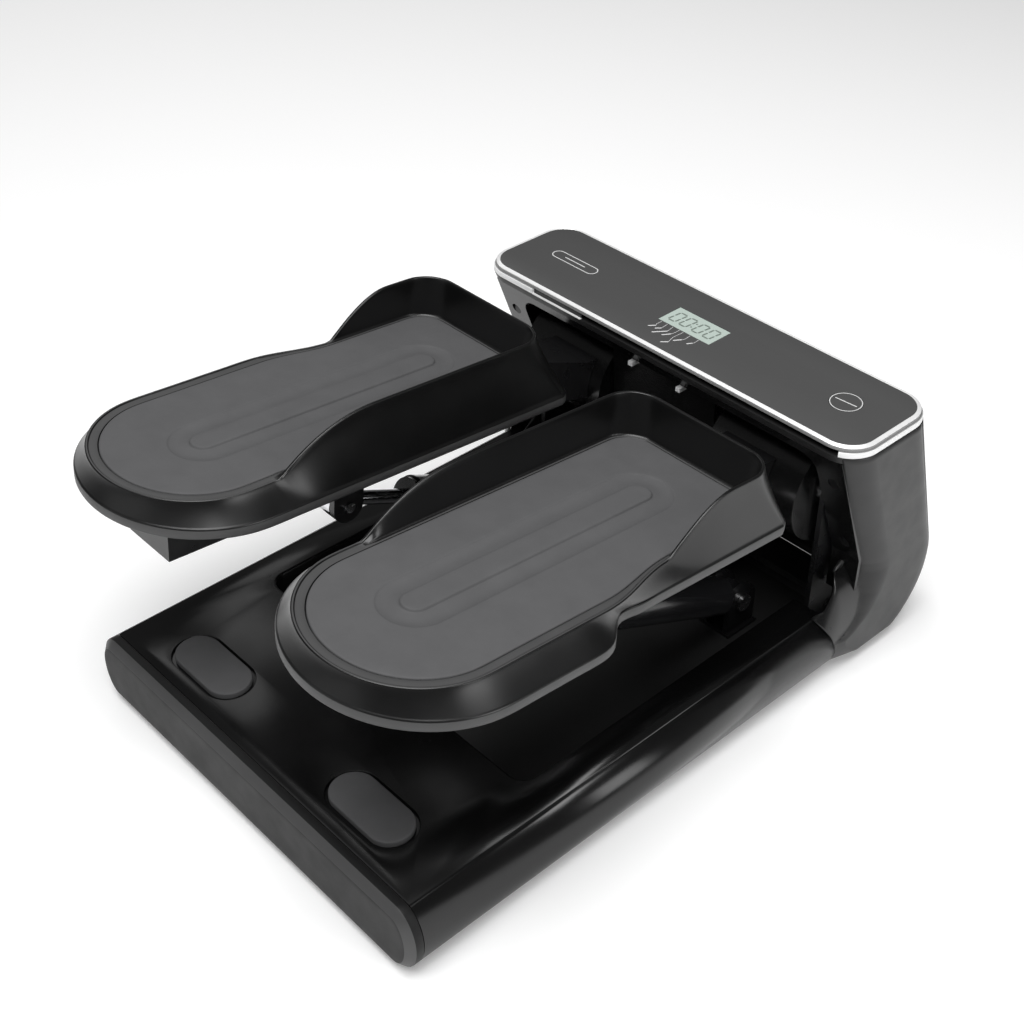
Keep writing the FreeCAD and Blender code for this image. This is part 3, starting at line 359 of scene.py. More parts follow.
def rounded_rectangle(x0, y0, x1, y1, radius, steps=10):
    """Counter-clockwise outline from the corner arc at x1, y0."""
    points = []
    for x, y, start in ((x1 - radius, y0 + radius, -90), (x1 - radius, y1 - radius, 0),
                        (x0 + radius, y1 - radius, 90), (x0 + radius, y0 + radius, 180)):
        for k in range(steps + 1):
            turn = math.radians(start + 90 * k / steps)
            points.append((x + radius * math.cos(turn), y + radius * math.sin(turn)))
    return np.array(points)


def flat_ring(loop, z):
    return [point(x, y, z) for x, y in loop]


def sheet_with_holes(name, outline, holes, z):
    """Flat face at one height with openings."""
    loops = [[Vector((x, y, 0)) for x, y in loop] for loop in (outline, *holes)]
    triangles = tessellate_polygon(loops)
    vertices = [point(v.x, v.y, z) for loop in loops for v in loop]
    return mesh_from(name, vertices, [tuple(t) for t in triangles])


# ------------------------------------------------------------------ pedals

PEDAL_X, TOE_Y, TOE_Z = 112.1, 310.7, 201.3
TILT = math.radians(5.2)
BAND_TOP, BAND_LOW = -13.4, -21.4

# Reach inwards, outwards at the heel and outwards at the toe; toe and heel ends;
# the stretch where the outer side narrows; toe corner radius.
MAT = dict(inner=62.0, outer=62.0, waist=53.4, toe=2.5, heel=305.4, narrow=(90.0, 150.0),
           corner=20.0)
RIM = dict(inner=70.7, outer=70.7, waist=58.4, toe=-6.0, heel=314.1, narrow=(92.0, 156.0),
           corner=24.0)
BAND = dict(inner=84.8, outer=84.6, waist=66.0, toe=-21.0, heel=321.6, narrow=(140.0, 168.0),
            corner=12.0)


def smooth(t):
    t = min(max(t, 0.0), 1.0)
    return t * t * (3 - 2 * t)


def stations(outline):
    """Ordered points (u, s) round a pedal outline: u outwards, s from toe to heel."""
    inner, outer, waist = outline["inner"], outline["outer"], outline["waist"]
    toe, heel, corner = outline["toe"], outline["heel"], outline["corner"]
    narrow_start, narrow_end = outline["narrow"]
    shoulder = heel - 0.93 * (inner + outer) / 2
    side_start = toe + corner
    points = []
    for k in range(6):
        points.append((-inner + corner + (inner + waist - 2 * corner) * k / 5, toe))
    for k in range(1, 5):
        turn = math.radians(90 * k / 5)
        points.append((waist - corner + corner * math.sin(turn),
                       toe + corner * (1 - math.cos(turn))))
    for k in range(16):
        s = side_start + (shoulder - side_start) * k / 15
        blend = smooth((s - narrow_start) / (narrow_end - narrow_start))
        points.append((waist + (outer - waist) * blend, s))
    for k in range(1, 16):
        turn = math.pi * k / 16
        across = outer if turn < math.pi / 2 else inner
        points.append((across * math.cos(turn), shoulder + (heel - shoulder) * math.sin(turn)))
    for k in range(16):
        points.append((-inner, shoulder + (side_start - shoulder) * k / 15))
    for k in range(1, 5):
        turn = math.radians(90 * k / 5)
        points.append((-inner + corner * (1 - math.cos(turn)),
                       side_start - corner * math.sin(turn)))
    return np.array(points)


def dense_loop(outline, steps=4):
    """Smooth periodic cubic through an outline's stations."""
    knots = stations(outline)
    count = len(knots)
    unit = np.eye(count)
    system = 4 * unit + np.roll(unit, 1, axis=0) + np.roll(unit, -1, axis=0)
    bend = np.roll(knots, -1, axis=0) - 2 * knots + np.roll(knots, 1, axis=0)
    curve = np.linalg.solve(system, 6 * bend)
    after, curve_after = np.roll(knots, -1, axis=0), np.roll(curve, -1, axis=0)
    loop = []
    for k in range(count):
        for j in range(steps):
            t = j / steps
            loop.append(curve[k] * (1 - t) ** 3 / 6 + curve_after[k] * t ** 3 / 6
                        + (knots[k] - curve[k] / 6) * (1 - t)
                        + (after[k] - curve_after[k] / 6) * t)
    return np.array(loop)


def rim_height(u, s):
    """Height of the wall's top edge over the mat: tall at the toe, flush at the heel."""
    if u < 0:
        start, end = 228.0, 150.0
        rise = 1 - (1 - min(max((start - s) / (start - end), 0.0), 1.0)) ** 2.2
    else:
        start, end = 92.0, 38.0
        rise = math.sin(math.pi / 2 * min(max((start - s) / (start - end), 0.0), 1.0))
    return 0.8 + 30.2 * rise


def pedal_ring(side, loop, depths):
    """Outline (u, s) at depths above the mat plane, in the row frame."""
    depths = np.broadcast_to(depths, len(loop))
    cos, sin = math.cos(TILT), math.sin(TILT)
    return [point(side * (PEDAL_X + u), TOE_Y - s * cos + d * sin, TOE_Z + s * sin + d * cos)
            for (u, s), d in zip(loop, depths)]


def mark_painted_light(mesh):
    """Puts the flat ring round the mat and the low outer band in the second material, a lighter
    satin grey: painted light, where these faces read lighter than the gloss black tray.
    """
    up = Vector((0.0, math.sin(TILT), math.cos(TILT)))
    origin = Vector(point(0, TOE_Y, TOE_Z))
    for face in mesh.polygons:
        depth = (face.center - origin).dot(up) / MM
        steep = abs(face.normal.dot(up))
        ring = steep > 0.96 and -0.3 < depth < 1.4
        band = steep < 0.3 and BAND_LOW + 0.6 < depth < BAND_TOP - 0.6
        face.material_index = 1 if ring or band else 0


def build_tray(side, hand):
    """Dished tray, skinned from the underside round the band and rim to the mat's seat."""
    mat, rim, band = (dense_loop(outline) for outline in (MAT, RIM, BAND))
    wall = np.array([rim_height(u, s) for u, s in rim])
    layers = [(offset_loop(mat, 2.0), -6.2), (offset_loop(band, -3.0), -15.9),
              (offset_loop(band, -3.0), BAND_LOW + 0.6), (offset_loop(band, -2.5), BAND_LOW),
              (offset_loop(band, -1.0), BAND_LOW), (offset_loop(band, -0.3), BAND_LOW + 0.3),
              (band, BAND_LOW + 1.0), (band, BAND_TOP - 1.2),
              (offset_loop(band, -0.25), BAND_TOP - 0.45), (offset_loop(band, -0.9), BAND_TOP)]
    foot = offset_loop(band, -0.9)
    for t in np.linspace(0.05, 0.96, 16):
        layers.append((rim + (foot - rim) * (1 - t) ** 1.25, BAND_TOP + t * (wall - BAND_TOP)))
    for margin, drop in ((0.0, 0.75), (-0.2, 0.25), (-0.65, 0.0), (-1.6, 0.0), (-2.1, 0.25),
                         (-2.35, 0.8)):
        layers.append((offset_loop(rim, margin), wall - drop))
    lip, root = offset_loop(rim, -2.4), offset_loop(mat, 3.4)
    fillet = np.minimum(2.2, 0.5 * (wall - 0.8))[:, None]
    top, low = (wall - 0.9)[:, None], fillet
    for t in np.linspace(0.12, 1.0, 8):
        layers.append((lip + (root - lip) * t, (top + (low - top) * t)[:, 0]))
    across = root - offset_loop(mat, 2.4)
    for turn in np.radians((22, 45, 67, 90)):
        layers.append((root - across * fillet * (1 - math.cos(turn)),
                       (fillet * (1 - math.sin(turn)))[:, 0]))
    for margin, depth in ((0.9, 0.0), (0.55, -0.15), (0.4, -0.6), (0.4, -3.0)):
        layers.append((offset_loop(mat, margin), depth))
    rings = [pedal_ring(side, loop, depth) for loop, depth in layers]
    mesh = ring_mesh("tray_" + hand, rings, cap_first=True, cap_last=True, sharp=50)
    mark_painted_light(mesh)
    add_piece("tray_" + hand, mesh, "arm_" + hand, "gloss_black", ["pedal_tray_" + hand],
              look="tray_black")
    # Second material: the lighter grey, painted on the ring and band as light.
    mesh.materials.append(MATERIALS["satin_and_painted_light"])


RIB_SHIFT, RIB_TOE, RIB_HEEL = -4.1, 55.2, 240.9

# Distance from the rib's middle line, and height of the mat's face there.
MAT_SECTION = ((0.0, 2.1), (4.0, 2.1), (7.4, 2.05), (8.5, 1.85), (9.1, 1.4), (9.4, 0.6),
               (9.8, 0.2), (11.0, 0.0), (13.0, -0.35), (15.5, -0.75), (18.0, -0.8),
               (20.5, -0.4), (22.3, 0.15), (23.2, 0.4), (23.6, 0.85), (24.2, 1.0),
               (25.5, 1.02))


def build_mat(side, hand):
    """Rubber mat with a raised oval rib in a shallow trough."""
    edge = dense_loop(MAT, 5)
    spine = np.column_stack([np.full(len(edge), RIB_SHIFT),
                             np.clip(edge[:, 1], RIB_TOE, RIB_HEEL)])
    reach = np.linalg.norm(edge - spine, axis=1)[:, None]
    aim = (edge - spine) / reach
    layers = [(edge, -2.9), (edge, -0.1), (offset_loop(edge, -0.25), 0.35),
              (offset_loop(edge, -0.8), 0.62), (offset_loop(edge, -1.8), 0.72)]
    inner = MAT_SECTION[-1][0]
    for t in np.linspace(0.08, 1.0, 12, endpoint=False):
        layers.append((spine + aim * (reach - 1.8 + (inner - reach + 1.8) * t),
                       0.72 + 0.3 * math.sin(math.pi / 2 * t)))
    for distance, height in reversed(MAT_SECTION):
        layers.append((spine + aim * distance, height))
    rings = [pedal_ring(side, loop, depth) for loop, depth in layers]
    mesh = ring_mesh("mat_" + hand, rings, cap_first=True, sharp=60)
    add_piece("mat_" + hand, mesh, "arm_" + hand, "grey_rubber", ["pedal_mat_" + hand])


# ------------------------------------------------------------------ flat base

BASE_HALF, BASE_TOP, BASE_BULGE = 177.0, 54.0, 18.0
CAP_DEPTH, BASE_END = 11.5, 400.0
WELL_HALF, WELL_REAR, WELL_CORNER = 139.0, 127.0, 12.0
BUMPERS = dict(x=89.0, y=42.3, half_length=35.0, half_width=16.5)
EDGE_TURN = math.radians(72)


def base_side(turn, inset=0.0):
    """Point (x, z) on the base's elliptic side; 0 is the middle, 90 degrees the flat top."""
    middle = BASE_TOP / 2
    return (BASE_HALF - BASE_BULGE + (BASE_BULGE - inset) * math.cos(turn),
            middle + (middle - inset) * math.sin(turn))


def bumper_loop(side, margin):
    b = BUMPERS
    long, wide = b["half_length"] + margin, b["half_width"] + margin
    return rounded_rectangle(side * b["x"] - long, b["y"] - wide, side * b["x"] + long,
                             b["y"] + wide, wide - 0.01, 14)


def well_path(margin):
    """Open path round the well from the right front to the left front, grown by a margin."""
    half, rear, radius = WELL_HALF + margin, WELL_REAR - margin, WELL_CORNER + margin
    path = [(half, BASE_END)]
    for x, start in ((half - radius, 0), (radius - half, -90)):
        for k in range(13):
            turn = math.radians(start - 90 * k / 12)
            path.append((x + radius * math.cos(turn), rear + radius + radius * math.sin(turn)))
    path.append((-half, BASE_END))
    return path


def build_base_shell():
    """Glossy top with soft edges round the well and the bumper seats, and rolled sides."""
    rear = CAP_DEPTH + 0.25
    edge_x, _ = base_side(EDGE_TURN)
    lip = edge_x - 1.2
    well_fillet = ((2.2, 0.0), (1.4, 0.15), (0.65, 0.65), (0.15, 1.4), (0.0, 2.2), (0.0, 47.8))
    outline = [(-lip, rear), (lip, rear), (lip, BASE_END)] + well_path(2.2) + [(-lip, BASE_END)]
    seats = [bumper_loop(side, 3.2) for side in (-1, 1)]
    parts = [sheet_with_holes("base_top", outline, seats, BASE_TOP)]
    rings = [[point(x, y, BASE_TOP - drop) for x, y in well_path(margin)]
             for margin, drop in well_fillet]
    parts.append(ring_mesh("well", rings, closed=False))
    for side in (-1, 1):
        rings = [flat_ring(bumper_loop(side, margin), BASE_TOP - drop)
                 for margin, drop in ((3.2, 0.0), (2.8, 0.1), (2.5, 0.4), (2.4, 0.9), (2.4, 2.1))]
        parts.append(ring_mesh("seat", rings, cap_last=True))
        profile = [(lip, BASE_TOP), (edge_x - 0.3, BASE_TOP - 0.35)]
        low_turn = math.asin((9.3 - BASE_TOP / 2) / (BASE_TOP / 2))
        profile += [base_side(t) for t in np.linspace(EDGE_TURN, low_turn, 26)]
        ends = [BASE_END] + [cheek_rear(z) - SEAM_GAP for _, z in profile[1:]]
        strips = [[point(side * x, rear + (end - rear) * t, z)
                   for (x, z), end in zip(profile, ends)] for t in (0.0, 1.0)]
        parts.append(ring_mesh("base_side", strips, closed=False))
    mesh = join_meshes("base_cover", parts, 30)
    piece = add_piece("base_cover", mesh, "stand", "gloss_black", ["base_shell"])
    thicken(piece, 2.2)


def base_section(inset, steps=20):
    """Whole cross-section of the base as (x, z), counter-clockwise."""
    right = [base_side(t, inset) for t in np.linspace(-math.pi / 2, math.pi / 2, steps)]
    return np.array(right + [(-x, z) for x, z in reversed(right)])


def build_rear_cap():
    """Satin end cap: flat face, soft crease, broad band and a thin joint to the base; the chamfer
    band, which faces upward, wears a lighter grey as painted light.
    """
    layers = [(2.6, CAP_DEPTH - 0.2), (0.5, CAP_DEPTH - 0.2), (0.12, CAP_DEPTH - 0.5),
              (0.0, CAP_DEPTH - 1.0)]
    layers += [(0.0, 5.6), (0.12, 5.1), (0.4, 4.7), (5.6, 0.4), (6.0, 0.12), (6.6, 0.0),
               (10.0, 0.0)]
    rings = [[point(x, y, z) for x, z in base_section(inset)] for inset, y in layers]
    mesh = ring_mesh("end_cap", rings, cap_last=True, sharp=30)
    # Chamfer faces, which look up and back, get the lighter grey: painted light.
    for face in mesh.polygons:
        on_chamfer = 0.3 < abs(face.normal.y) < 0.95
        face.material_index = 1 if on_chamfer else 0
    piece = add_piece("end_cap", mesh, "stand", "satin_black", ["rear_end_cap"], look="cap_black")
    # Second material: the lighter grey, painted light on the chamfer.
    mesh.materials.append(MATERIALS["satin_and_painted_light"])
    thicken(piece, 2.2)


def build_bumper(side, hand):
    """Stadium-shaped rubber pad, softly rounded on top."""
    layers = ((0.0, -2.0), (0.0, 1.4), (-0.15, 1.95), (-0.6, 2.35), (-1.3, 2.5), (-4.0, 2.6),
              (-10.0, 2.7))
    rings = [flat_ring(bumper_loop(side, margin), BASE_TOP + rise) for margin, rise in layers]
    mesh = ring_mesh("bumper_" + hand, rings, cap_first=True, cap_last=True, sharp=60)
    add_piece("bumper_" + hand, mesh, "stand", "grey_rubber", ["stop_bumper_" + hand])


# ------------------------------------------------------------------ display housing

HOUSING_LOW, HOUSING_TOP = 9.2, 206.0
FRONT_RADIUS, FRONT_LEAN, FRONT_FOOT = 58.0, math.radians(19.6), 465.0
CORNER = 24.0
SEAM_GAP = 0.45

# Height, Y of the cheek's rear border and Y where its rounded edge begins.
CHEEK_REAR = np.array((
    (9.2, 409.0, 380.0), (16.0, 408.5, 380.0), (22.0, 407.3, 380.0), (28.0, 405.5, 386.0),
    (34.0, 403.0, 404.0), (40.0, 400.0, 413.0), (46.0, 396.0, 419.0), (54.0, 391.0, 423.5),
    (60.0, 398.5, 427.0), (67.5, 403.5, 429.0), (74.0, 408.0, 430.0), (79.0, 412.0, 430.5),
    (82.0, 418.0, 430.0), (86.0, 427.0, 429.0), (88.0, 430.0, 428.5), (94.0, 429.0, 426.0),
    (206.0, 384.5, 381.5)))


def cheek_rear(z):
    """Y of the cheek's rear border at a height."""
    return float(np.interp(z, CHEEK_REAR[:, 0], CHEEK_REAR[:, 1]))


def side_x(z):
    return 179.0 + 5.3 * z / HOUSING_TOP


def front_y(z):
    if z < FRONT_RADIUS * (1 + math.sin(FRONT_LEAN)):
        return FRONT_FOOT + math.sqrt(FRONT_RADIUS ** 2 - (FRONT_RADIUS - z) ** 2)
    foot = FRONT_FOOT + FRONT_RADIUS / math.tan((math.pi / 2 - FRONT_LEAN) / 2)
    return foot - math.tan(FRONT_LEAN) * z


def seam_y(z):
    """Parting line between cheek and front cover: straight, then an arc into the foot."""
    (top_y, top_z), (knee_y, knee_z) = (459.0, 206.0), (513.0, 62.0)
    if z > knee_z:
        return knee_y + (top_y - knee_y) * (z - knee_z) / (top_z - knee_z)
    centre_y, centre_z, radius = 457.1, 65.2, 56.0
    return centre_y + math.sqrt(max(radius ** 2 - (centre_z - z) ** 2, 0.0))


def roll(t):
    """Quarter circle from 1 at t = 0 down to 0 at t = 1."""
    t = min(max(t, 0.0), 1.0)
    return 1 - math.sqrt(1 - (1 - t) ** 2)


def shell_x(y, z, edge_y):
    """Half-width of the housing's outer face; edge_y is where the rear rounding begins."""
    front_start = front_y(z) - CORNER
    return side_x(z) - CORNER * (roll((y - edge_y) / CORNER)
                                 + roll((front_start + CORNER - y) / CORNER))


def shoulder_x(y, z):
    """The base's rolled side carried on under the cheek as a nose that rises forward."""
    middle = BASE_TOP / 2
    rise = middle + 27.0 * smooth((y - 389.0) / 22.0)
    reach = (z - middle) / (rise if z > middle else middle)
    return BASE_HALF - BASE_BULGE + BASE_BULGE * math.sqrt(max(1 - reach ** 2, 0.0))


def soft_max(a, b, radius):
    """The larger of two numbers, rounded where they cross."""
    blend = max(radius - abs(a - b), 0.0) / radius
    return max(a, b) + blend ** 2 * radius / 4


FLARE_TOP, FLARE_SLOPE = 40.0, 0.28
SHOULDER_TOP, SHOULDER_BLEND = 106.0, 1.2
# Heights between which the nose wears the painted shade.
NOSE_LOW, NOSE_TOP = 24.0, 82.0


def cheek_x(y, z, rear, edge):
    """Half-width of a cheek's outer face: its low part flares out from the base's side."""
    x = shell_x(y, z, edge)
    if z < FLARE_TOP:
        x = min(x, shoulder_x(rear, z) + FLARE_SLOPE * (y - rear))
    if z < SHOULDER_TOP and y < edge + CORNER:
        x = soft_max(x, shoulder_x(y, z), SHOULDER_BLEND)
    return x


def mark_nose_painted_shade(mesh):
    """Puts the nose, where the base's side runs on under the cheek, in the second material: gloss
    black painted on as shade, where the nose lies in the shade of the tray and arm.
    """
    for face in mesh.polygons:
        y, z = (face.center.y - REAR_Y) / MM, (face.center.z - BASE_Z) / MM
        edge = np.interp(z, CHEEK_REAR[:, 0], CHEEK_REAR[:, 2])
        over_shell = y < edge + CORNER and shoulder_x(y, z) > shell_x(y, z, edge)
        face.material_index = 1 if NOSE_LOW < z < NOSE_TOP and over_shell else 0


def build_cheek(side, hand):
    heights = list(np.arange(HOUSING_LOW, 96.0, 1.4)) + list(np.linspace(97.0, HOUSING_TOP, 20))
    rows = []
    for z in heights:
        rear, edge = cheek_rear(z), np.interp(z, CHEEK_REAR[:, 0], CHEEK_REAR[:, 2])
        seam = seam_y(z) - SEAM_GAP / 2
        bend = min(max(edge, rear) + CORNER + 3, seam - 8)
        columns = list(np.linspace(rear, bend, 42, endpoint=False))
        columns += list(np.linspace(bend, seam, 14))
        rows.append([point(side * cheek_x(y, z, rear, edge), y, z) for y in columns])
    mesh = ring_mesh("cheek_" + hand, rows, closed=False, sharp=45)
    face_out(mesh, Vector((side, 0, 0)))
    mark_nose_painted_shade(mesh)
    piece = add_piece("cheek_" + hand, mesh, "stand", "satin_black", ["housing_shell"])
    # Second material: gloss black, the nose's painted shade.
    mesh.materials.append(MATERIALS["gloss_black"])
    thicken(piece, 2.6)


def face_out(mesh, direction):
    """Turns an open skin so that its faces look mostly along a direction."""
    total = sum((p.normal * p.area for p in mesh.polygons), Vector())
    if total.dot(direction) < 0:
        mesh.flip_normals()


def build_top_frame():
    """Ledge that joins the two cheeks and carries the trim and the glass."""
    outer = rounded_rectangle(-183.6, 382.4, 183.6, 473.4, CORNER - 1, 12)
    inner = rounded_rectangle(-168, 394, 168, 452, 8, 12)
    low = HOUSING_TOP - 5.5
    rings = [flat_ring(inner, low), flat_ring(inner, HOUSING_TOP), flat_ring(outer, HOUSING_TOP),
             flat_ring(outer, HOUSING_TOP - 0.6), flat_ring(offset_loop(outer, -1.2), low),
             flat_ring(inner, low)]
    add_piece("top_frame", ring_mesh("top_frame", rings), "stand", "satin_black", ["housing_shell"])


def build_front_cover():
    """Curved front shell with round corners, from the pan's edge up to the trim."""
    levels = [FRONT_RADIUS * (1 + math.sin(t)) for t in
              np.linspace(math.asin((HOUSING_LOW - FRONT_RADIUS) / FRONT_RADIUS), FRONT_LEAN, 16)]
    levels += list(np.linspace(levels[-1] + 8, HOUSING_TOP, 14))
    rows = []
    for z in levels:
        front, seam = front_y(z), seam_y(z) + SEAM_GAP / 2
        start, half = front - CORNER, side_x(z)
        first = math.asin(min(max((seam - start) / CORNER, 0.0), 1.0))
        if seam < start:
            right = [(half, y) for y in np.linspace(seam, start, 8, endpoint=False)]
        else:
            right = [(half - CORNER * (1 - math.cos(first)), seam)] * 8
        right += [(half - CORNER * (1 - math.cos(t)), start + CORNER * math.sin(t))
                  for t in np.linspace(first, math.pi / 2, 14)]
        right += [(x, front) for x in np.linspace(half - CORNER, 0, 9)[1:]]
        row = right + [(-x, y) for x, y in reversed(right[:-1])]
        rows.append([point(x, y, z) for x, y in row])
    mesh = ring_mesh("front_shell", rows, closed=False, sharp=60)
    face_out(mesh, Vector((0, 1, 0)))
    piece = add_piece("front_shell", mesh, "stand", "satin_black", ["front_cover"])
    thicken(piece, 2.6)


# ------------------------------------------------------------------ top panel

GLASS = dict(half=179.2, rear=386.0, front=469.0, top=214.7, corner=20.0)


def glass_loop(margin, steps=14):
    g = GLASS
    return rounded_rectangle(-g["half"] - margin, g["rear"] - margin, g["half"] + margin,
                             g["front"] + margin, g["corner"] + margin, steps)


def trim_corner(sign, y, start, end):
    """Points and outward directions round one corner of the glass."""
    g = GLASS
    path = []
    for turn in np.radians(np.linspace(start, end, 14)):
        way = (math.cos(turn), math.sin(turn))
        path.append((sign * (g["half"] - g["corner"]) + g["corner"] * way[0],
                     y + g["corner"] * way[1], way))
    return path


def along_trim(name, path, profile, look=None):
    """Moulding of one profile (margin, height over the housing's top) along a path."""
    rings = [[point(x + margin * way[0], y + margin * way[1], HOUSING_TOP + z)
              for margin, z in profile] for x, y, way in path]
    mesh = ring_mesh(name, rings, cap_first=True, cap_last=True, sharp=30)
    add_piece(name, mesh, "stand", "bright_trim", ["trim_band"] if look is None else (), look)


BAND_TAIL, PLATE_END = -125.0, -73.0


def build_trim():
    """Bevel round the glass on a skirt in a darker copy of the trim, painted shade; below it the
    broad band, open over the recess.
    """
    g = GLASS
    for name, look, profile in (
            ("bevel_ring", None, ((0.2, -1.6), (0.2, -0.35), (0.5, -0.05), (0.9, 0.0), (2.9, -0.95),
                                  (3.2, -1.2), (3.2, -1.6))),
            ("bevel_skirt", "trim_painted_shade", ((0.2, -3.8), (0.2, -1.65), (3.1, -1.65), (3.3, -2.1),
                                           (3.4, -3.8)))):
        rings = [flat_ring(glass_loop(margin), g["top"] + z) for margin, z in profile + profile[:1]]
        add_piece(name, ring_mesh(name, rings, sharp=30), "stand", "bright_trim",
                  ["trim_ring"] if look is None else (), look)
    rear, front = g["rear"] + g["corner"], g["front"] - g["corner"]
    path = trim_corner(1, rear, -66, 0) + trim_corner(1, front, 0, 90)
    path += trim_corner(-1, front, 90, 180) + trim_corner(-1, rear, 180, 270)
    path += [(x, g["rear"], (0.0, -1.0)) for x in np.linspace(-150, BAND_TAIL, 6)]
    along_trim("side_band", path, ((-5.6, 0.3), (4.4, 0.3), (4.95, 0.5), (5.1, 1.0), (5.1, 3.9),
                                   (4.9, 4.4), (4.5, 4.6), (-5.6, 4.6)))
    # Ledge on the band's top, under the skirt, in the trim's painted-shade copy.
    along_trim("band_ledge", path, ((3.2, 4.5), (4.4, 4.5), (4.4, 4.7), (3.2, 4.7)), "trim_painted_shade")


def build_rear_plate():
    """Dark plate that carries the band's line on along the recess, over a thin bright lip."""
    g = GLASS
    path = [(x, g["rear"], (0.0, -1.0)) for x in np.linspace(BAND_TAIL - 0.5, PLATE_END, 8)]
    rings = [[point(x, y - margin, HOUSING_TOP + z) for margin, z in
              ((-5.6, 0.3), (2.9, 0.3), (3.1, 0.6), (3.1, 4.1), (2.9, 4.4), (-5.6, 4.4))]
             for x, y, _ in path]
    mesh = ring_mesh("rear_plate", rings, cap_first=True, cap_last=True, sharp=30)
    add_piece("rear_plate", mesh, "stand", "satin_black")
    along_trim("rear_lip", path, ((2.4, 0.2), (4.8, 0.2), (5.0, 0.5), (4.8, 1.0), (2.4, 1.0)),
               "bright_trim")


def build_glass():
    """Grey glass with a fine bright-cut edge, a display window and a round key hole."""
    g = GLASS
    window = np.array([(-25.1, 415.5), (25.1, 415.5), (25.1, 440.1), (-25.1, 440.1)])
    hole = circle_loop(*KEY, 12.1)
    top, low = g["top"], g["top"] - 3.4
    parts = [sheet_with_holes("glass", glass_loop(-0.6), [window, hole], top)]
    edge = ((-0.6, top), (-0.2, top - 0.15), (0.0, top - 0.5), (0.0, low))
    parts.append(ring_mesh("edge", [flat_ring(glass_loop(margin), z) for margin, z in edge]))
    for loop in (window, hole):
        parts.append(ring_mesh("reveal", [flat_ring(loop, top), flat_ring(loop, low)]))
    mesh = join_meshes("glass_plate", parts, 30)
    add_piece("glass_plate", mesh, "stand", "panel_glass_grey", ["top_panel"])


KEY = (139.0, 429.3)


def circle_loop(x, y, radius, steps=64):
    turns = np.linspace(0, 2 * math.pi, steps, endpoint=False)
    return np.column_stack([x + radius * np.cos(turns), y + radius * np.sin(turns)])


def band_mesh(name, loop, width, z, tall):
    """Thin printed outline: a closed strip of one width along a loop."""
    inner = offset_loop(loop, -width)
    rings = [flat_ring(loop, z), flat_ring(loop, z + tall), flat_ring(inner, z + tall),
             flat_ring(inner, z), flat_ring(loop, z)]
    return ring_mesh(name, rings, sharp=30)


def stroke(start, end, width, z, tall):
    """Thin printed line with square ends."""
    a, b = np.array(start, float), np.array(end, float)
    side = (b - a) / np.linalg.norm(b - a) * width / 2
    across = np.array([-side[1], side[0]])
    loop = [a - across, b - across, b + across, a + across]
    return ring_mesh("stroke", [flat_ring(loop, z), flat_ring(loop, z + tall)],
                     cap_first=True, cap_last=True)


# Leader lines below the display: X at the window, bend, and the caption bar's two ends.
LEADERS = (((-20.4, 414.6), (-20.5, 409.6), (-23.2, 402.6), (-19.4, 407.0)),
           ((-14.6, 414.6), (-14.2, 409.4), (-17.2, 403.6), (-13.9, 407.3)),
           ((-9.2, 414.6), (-8.2, 409.6), (-15.0, 398.0), (-8.0, 407.2)),
           ((-2.8, 414.6), (-2.9, 409.0), (-7.4, 400.4), (-3.6, 406.3)),
           ((1.2, 414.6), (0.6, 404.0), (-1.4, 392.6), (2.6, 396.8)),
           ((7.8, 414.6), (8.4, 408.6), (3.6, 400.6), (7.4, 406.3)),
           ((16.0, 414.6), (16.4, 409.8), (13.4, 404.6), (15.8, 408.3)))


def build_prints():
    """Outlines, leader lines and plain caption bars printed on the glass and the key."""
    top, tall = GLASS["top"], 0.06
    pill = rounded_rectangle(-151.6, 424.3, -104.6, 435.4, 5.5, 10)
    parts = [band_mesh("pill", pill, 0.8, top, tall)]
    parts.append(stroke((-139.0, 429.9), (-117.2, 429.9), 0.9, top, tall))
    for tip, bend, bar_start, bar_end in LEADERS:
        parts.append(stroke(tip, bend, 0.35, top, tall))
        parts.append(stroke(bend, bar_end, 0.35, top, tall))
        parts.append(stroke(bar_start, bar_end, 1.1, top, tall))
    add_piece("panel_prints", join_meshes("panel_prints", parts, 30), "stand", "bright_trim",
              look="print_light")
    x, y = KEY
    parts = [band_mesh("key_outline", circle_loop(x, y, 11.5), 0.65, top, tall),
             stroke((x - 8.6, y - 0.7), (x + 8.6, y + 0.7), 0.9, top, tall)]
    add_piece("key_prints", join_meshes("key_prints", parts, 30), "button", "bright_trim",
              look="print_light")


# X of each figure, and a nought's segments: top, upper right, lower right, bottom, lower
# left, upper left.
FIGURE_X = (-16.4, -6.0, 6.3, 17.0)
NOUGHT = "abcdef"


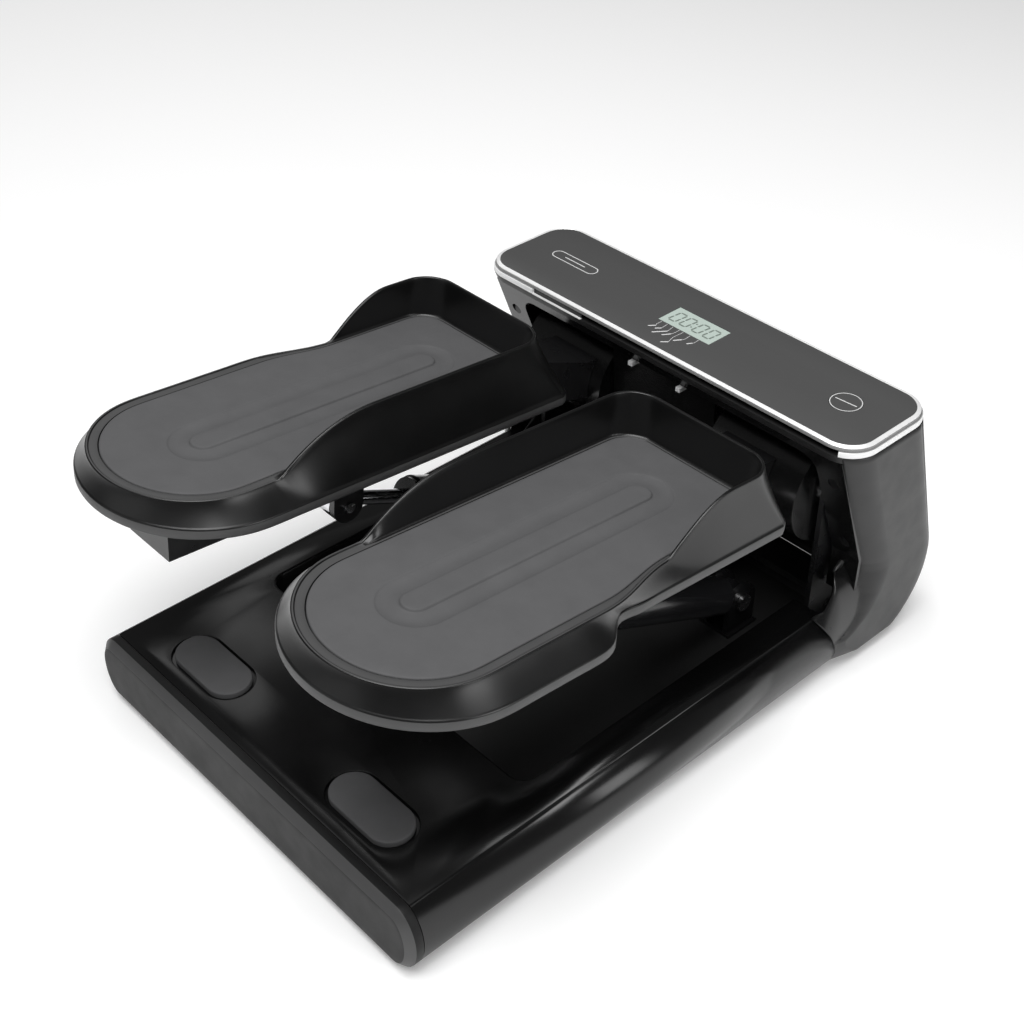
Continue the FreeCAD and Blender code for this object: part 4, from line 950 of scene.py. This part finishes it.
def segment(kind, x, y):
    """Pointed bar of a figure centred on x, y, leaning slightly to the right."""
    half, tall, thick = 3.3, 6.6, 0.75
    spots = {"a": (0, tall, 0), "d": (0, -tall, 0), "b": (half, tall / 2, 1),
             "c": (half, -tall / 2, 1), "e": (-half, -tall / 2, 1), "f": (-half, tall / 2, 1)}
    dx, dy, upright = spots[kind]
    reach = (tall / 2 if upright else half) - 0.35
    shape = [(-reach, 0), (thick - reach, -thick), (reach - thick, -thick), (reach, 0),
             (reach - thick, thick), (thick - reach, thick)]
    if upright:
        shape = [(-b, a) for a, b in shape]
    return np.array([(x + dx + a + 0.1 * (dy + b), y + dy + b) for a, b in shape])


def build_readout():
    """Dark segments on the pale display window: a counter standing at noughts."""
    z, tall, y = GLASS["top"] - 0.2, 0.06, 427.8
    loops = [segment(kind, x, y) for x in FIGURE_X for kind in NOUGHT]
    loops += [circle_loop(0.2, y + 2.8, 0.8, 16), circle_loop(-0.4, y - 3.2, 0.8, 16)]
    parts = [ring_mesh("figure", [flat_ring(loop, z), flat_ring(loop, z + tall)],
                       cap_first=True, cap_last=True) for loop in loops]
    add_piece("readout", join_meshes("readout", parts, 30), "stand", "dark_plastic",
              look="display_ink")


# ------------------------------------------------------------------ carried-over nodes

def dress_cad_nodes():
    """Gives every carried-over CAD node its surface and slightly broken edges."""
    # The bottom tray wears the same lighter satin grey that is painted as light on the trays' ring
    # and the cap's chamfer.
    looks = {"centre_bracket": "bright_trim", "floor_plate": "satin_black",
             "bottom_tray": "satin_and_painted_light"}
    for name, node in frame["nodes"].items():
        node.data.materials.clear()
        node.data.materials.append(MATERIALS[looks.get(name, SLOT_OF[name])])
        bevel = node.modifiers.new("broken_edges", "BEVEL")
        bevel.width = 0.0006
        bevel.segments = 2
        bevel.limit_method = "ANGLE"
        bevel.angle_limit = math.radians(40)
        bevel.harden_normals = False


make_camera()
make_world()
make_lights()
make_floor()
dress_cad_nodes()
build_base_shell()
build_rear_cap()
for hand, side in SIDES.items():
    build_tray(side, hand)
    build_mat(side, hand)
    build_bumper(side, hand)
    build_cheek(side, hand)
build_top_frame()
build_front_cover()
build_trim()
build_rear_plate()
build_glass()
build_prints()
build_readout()
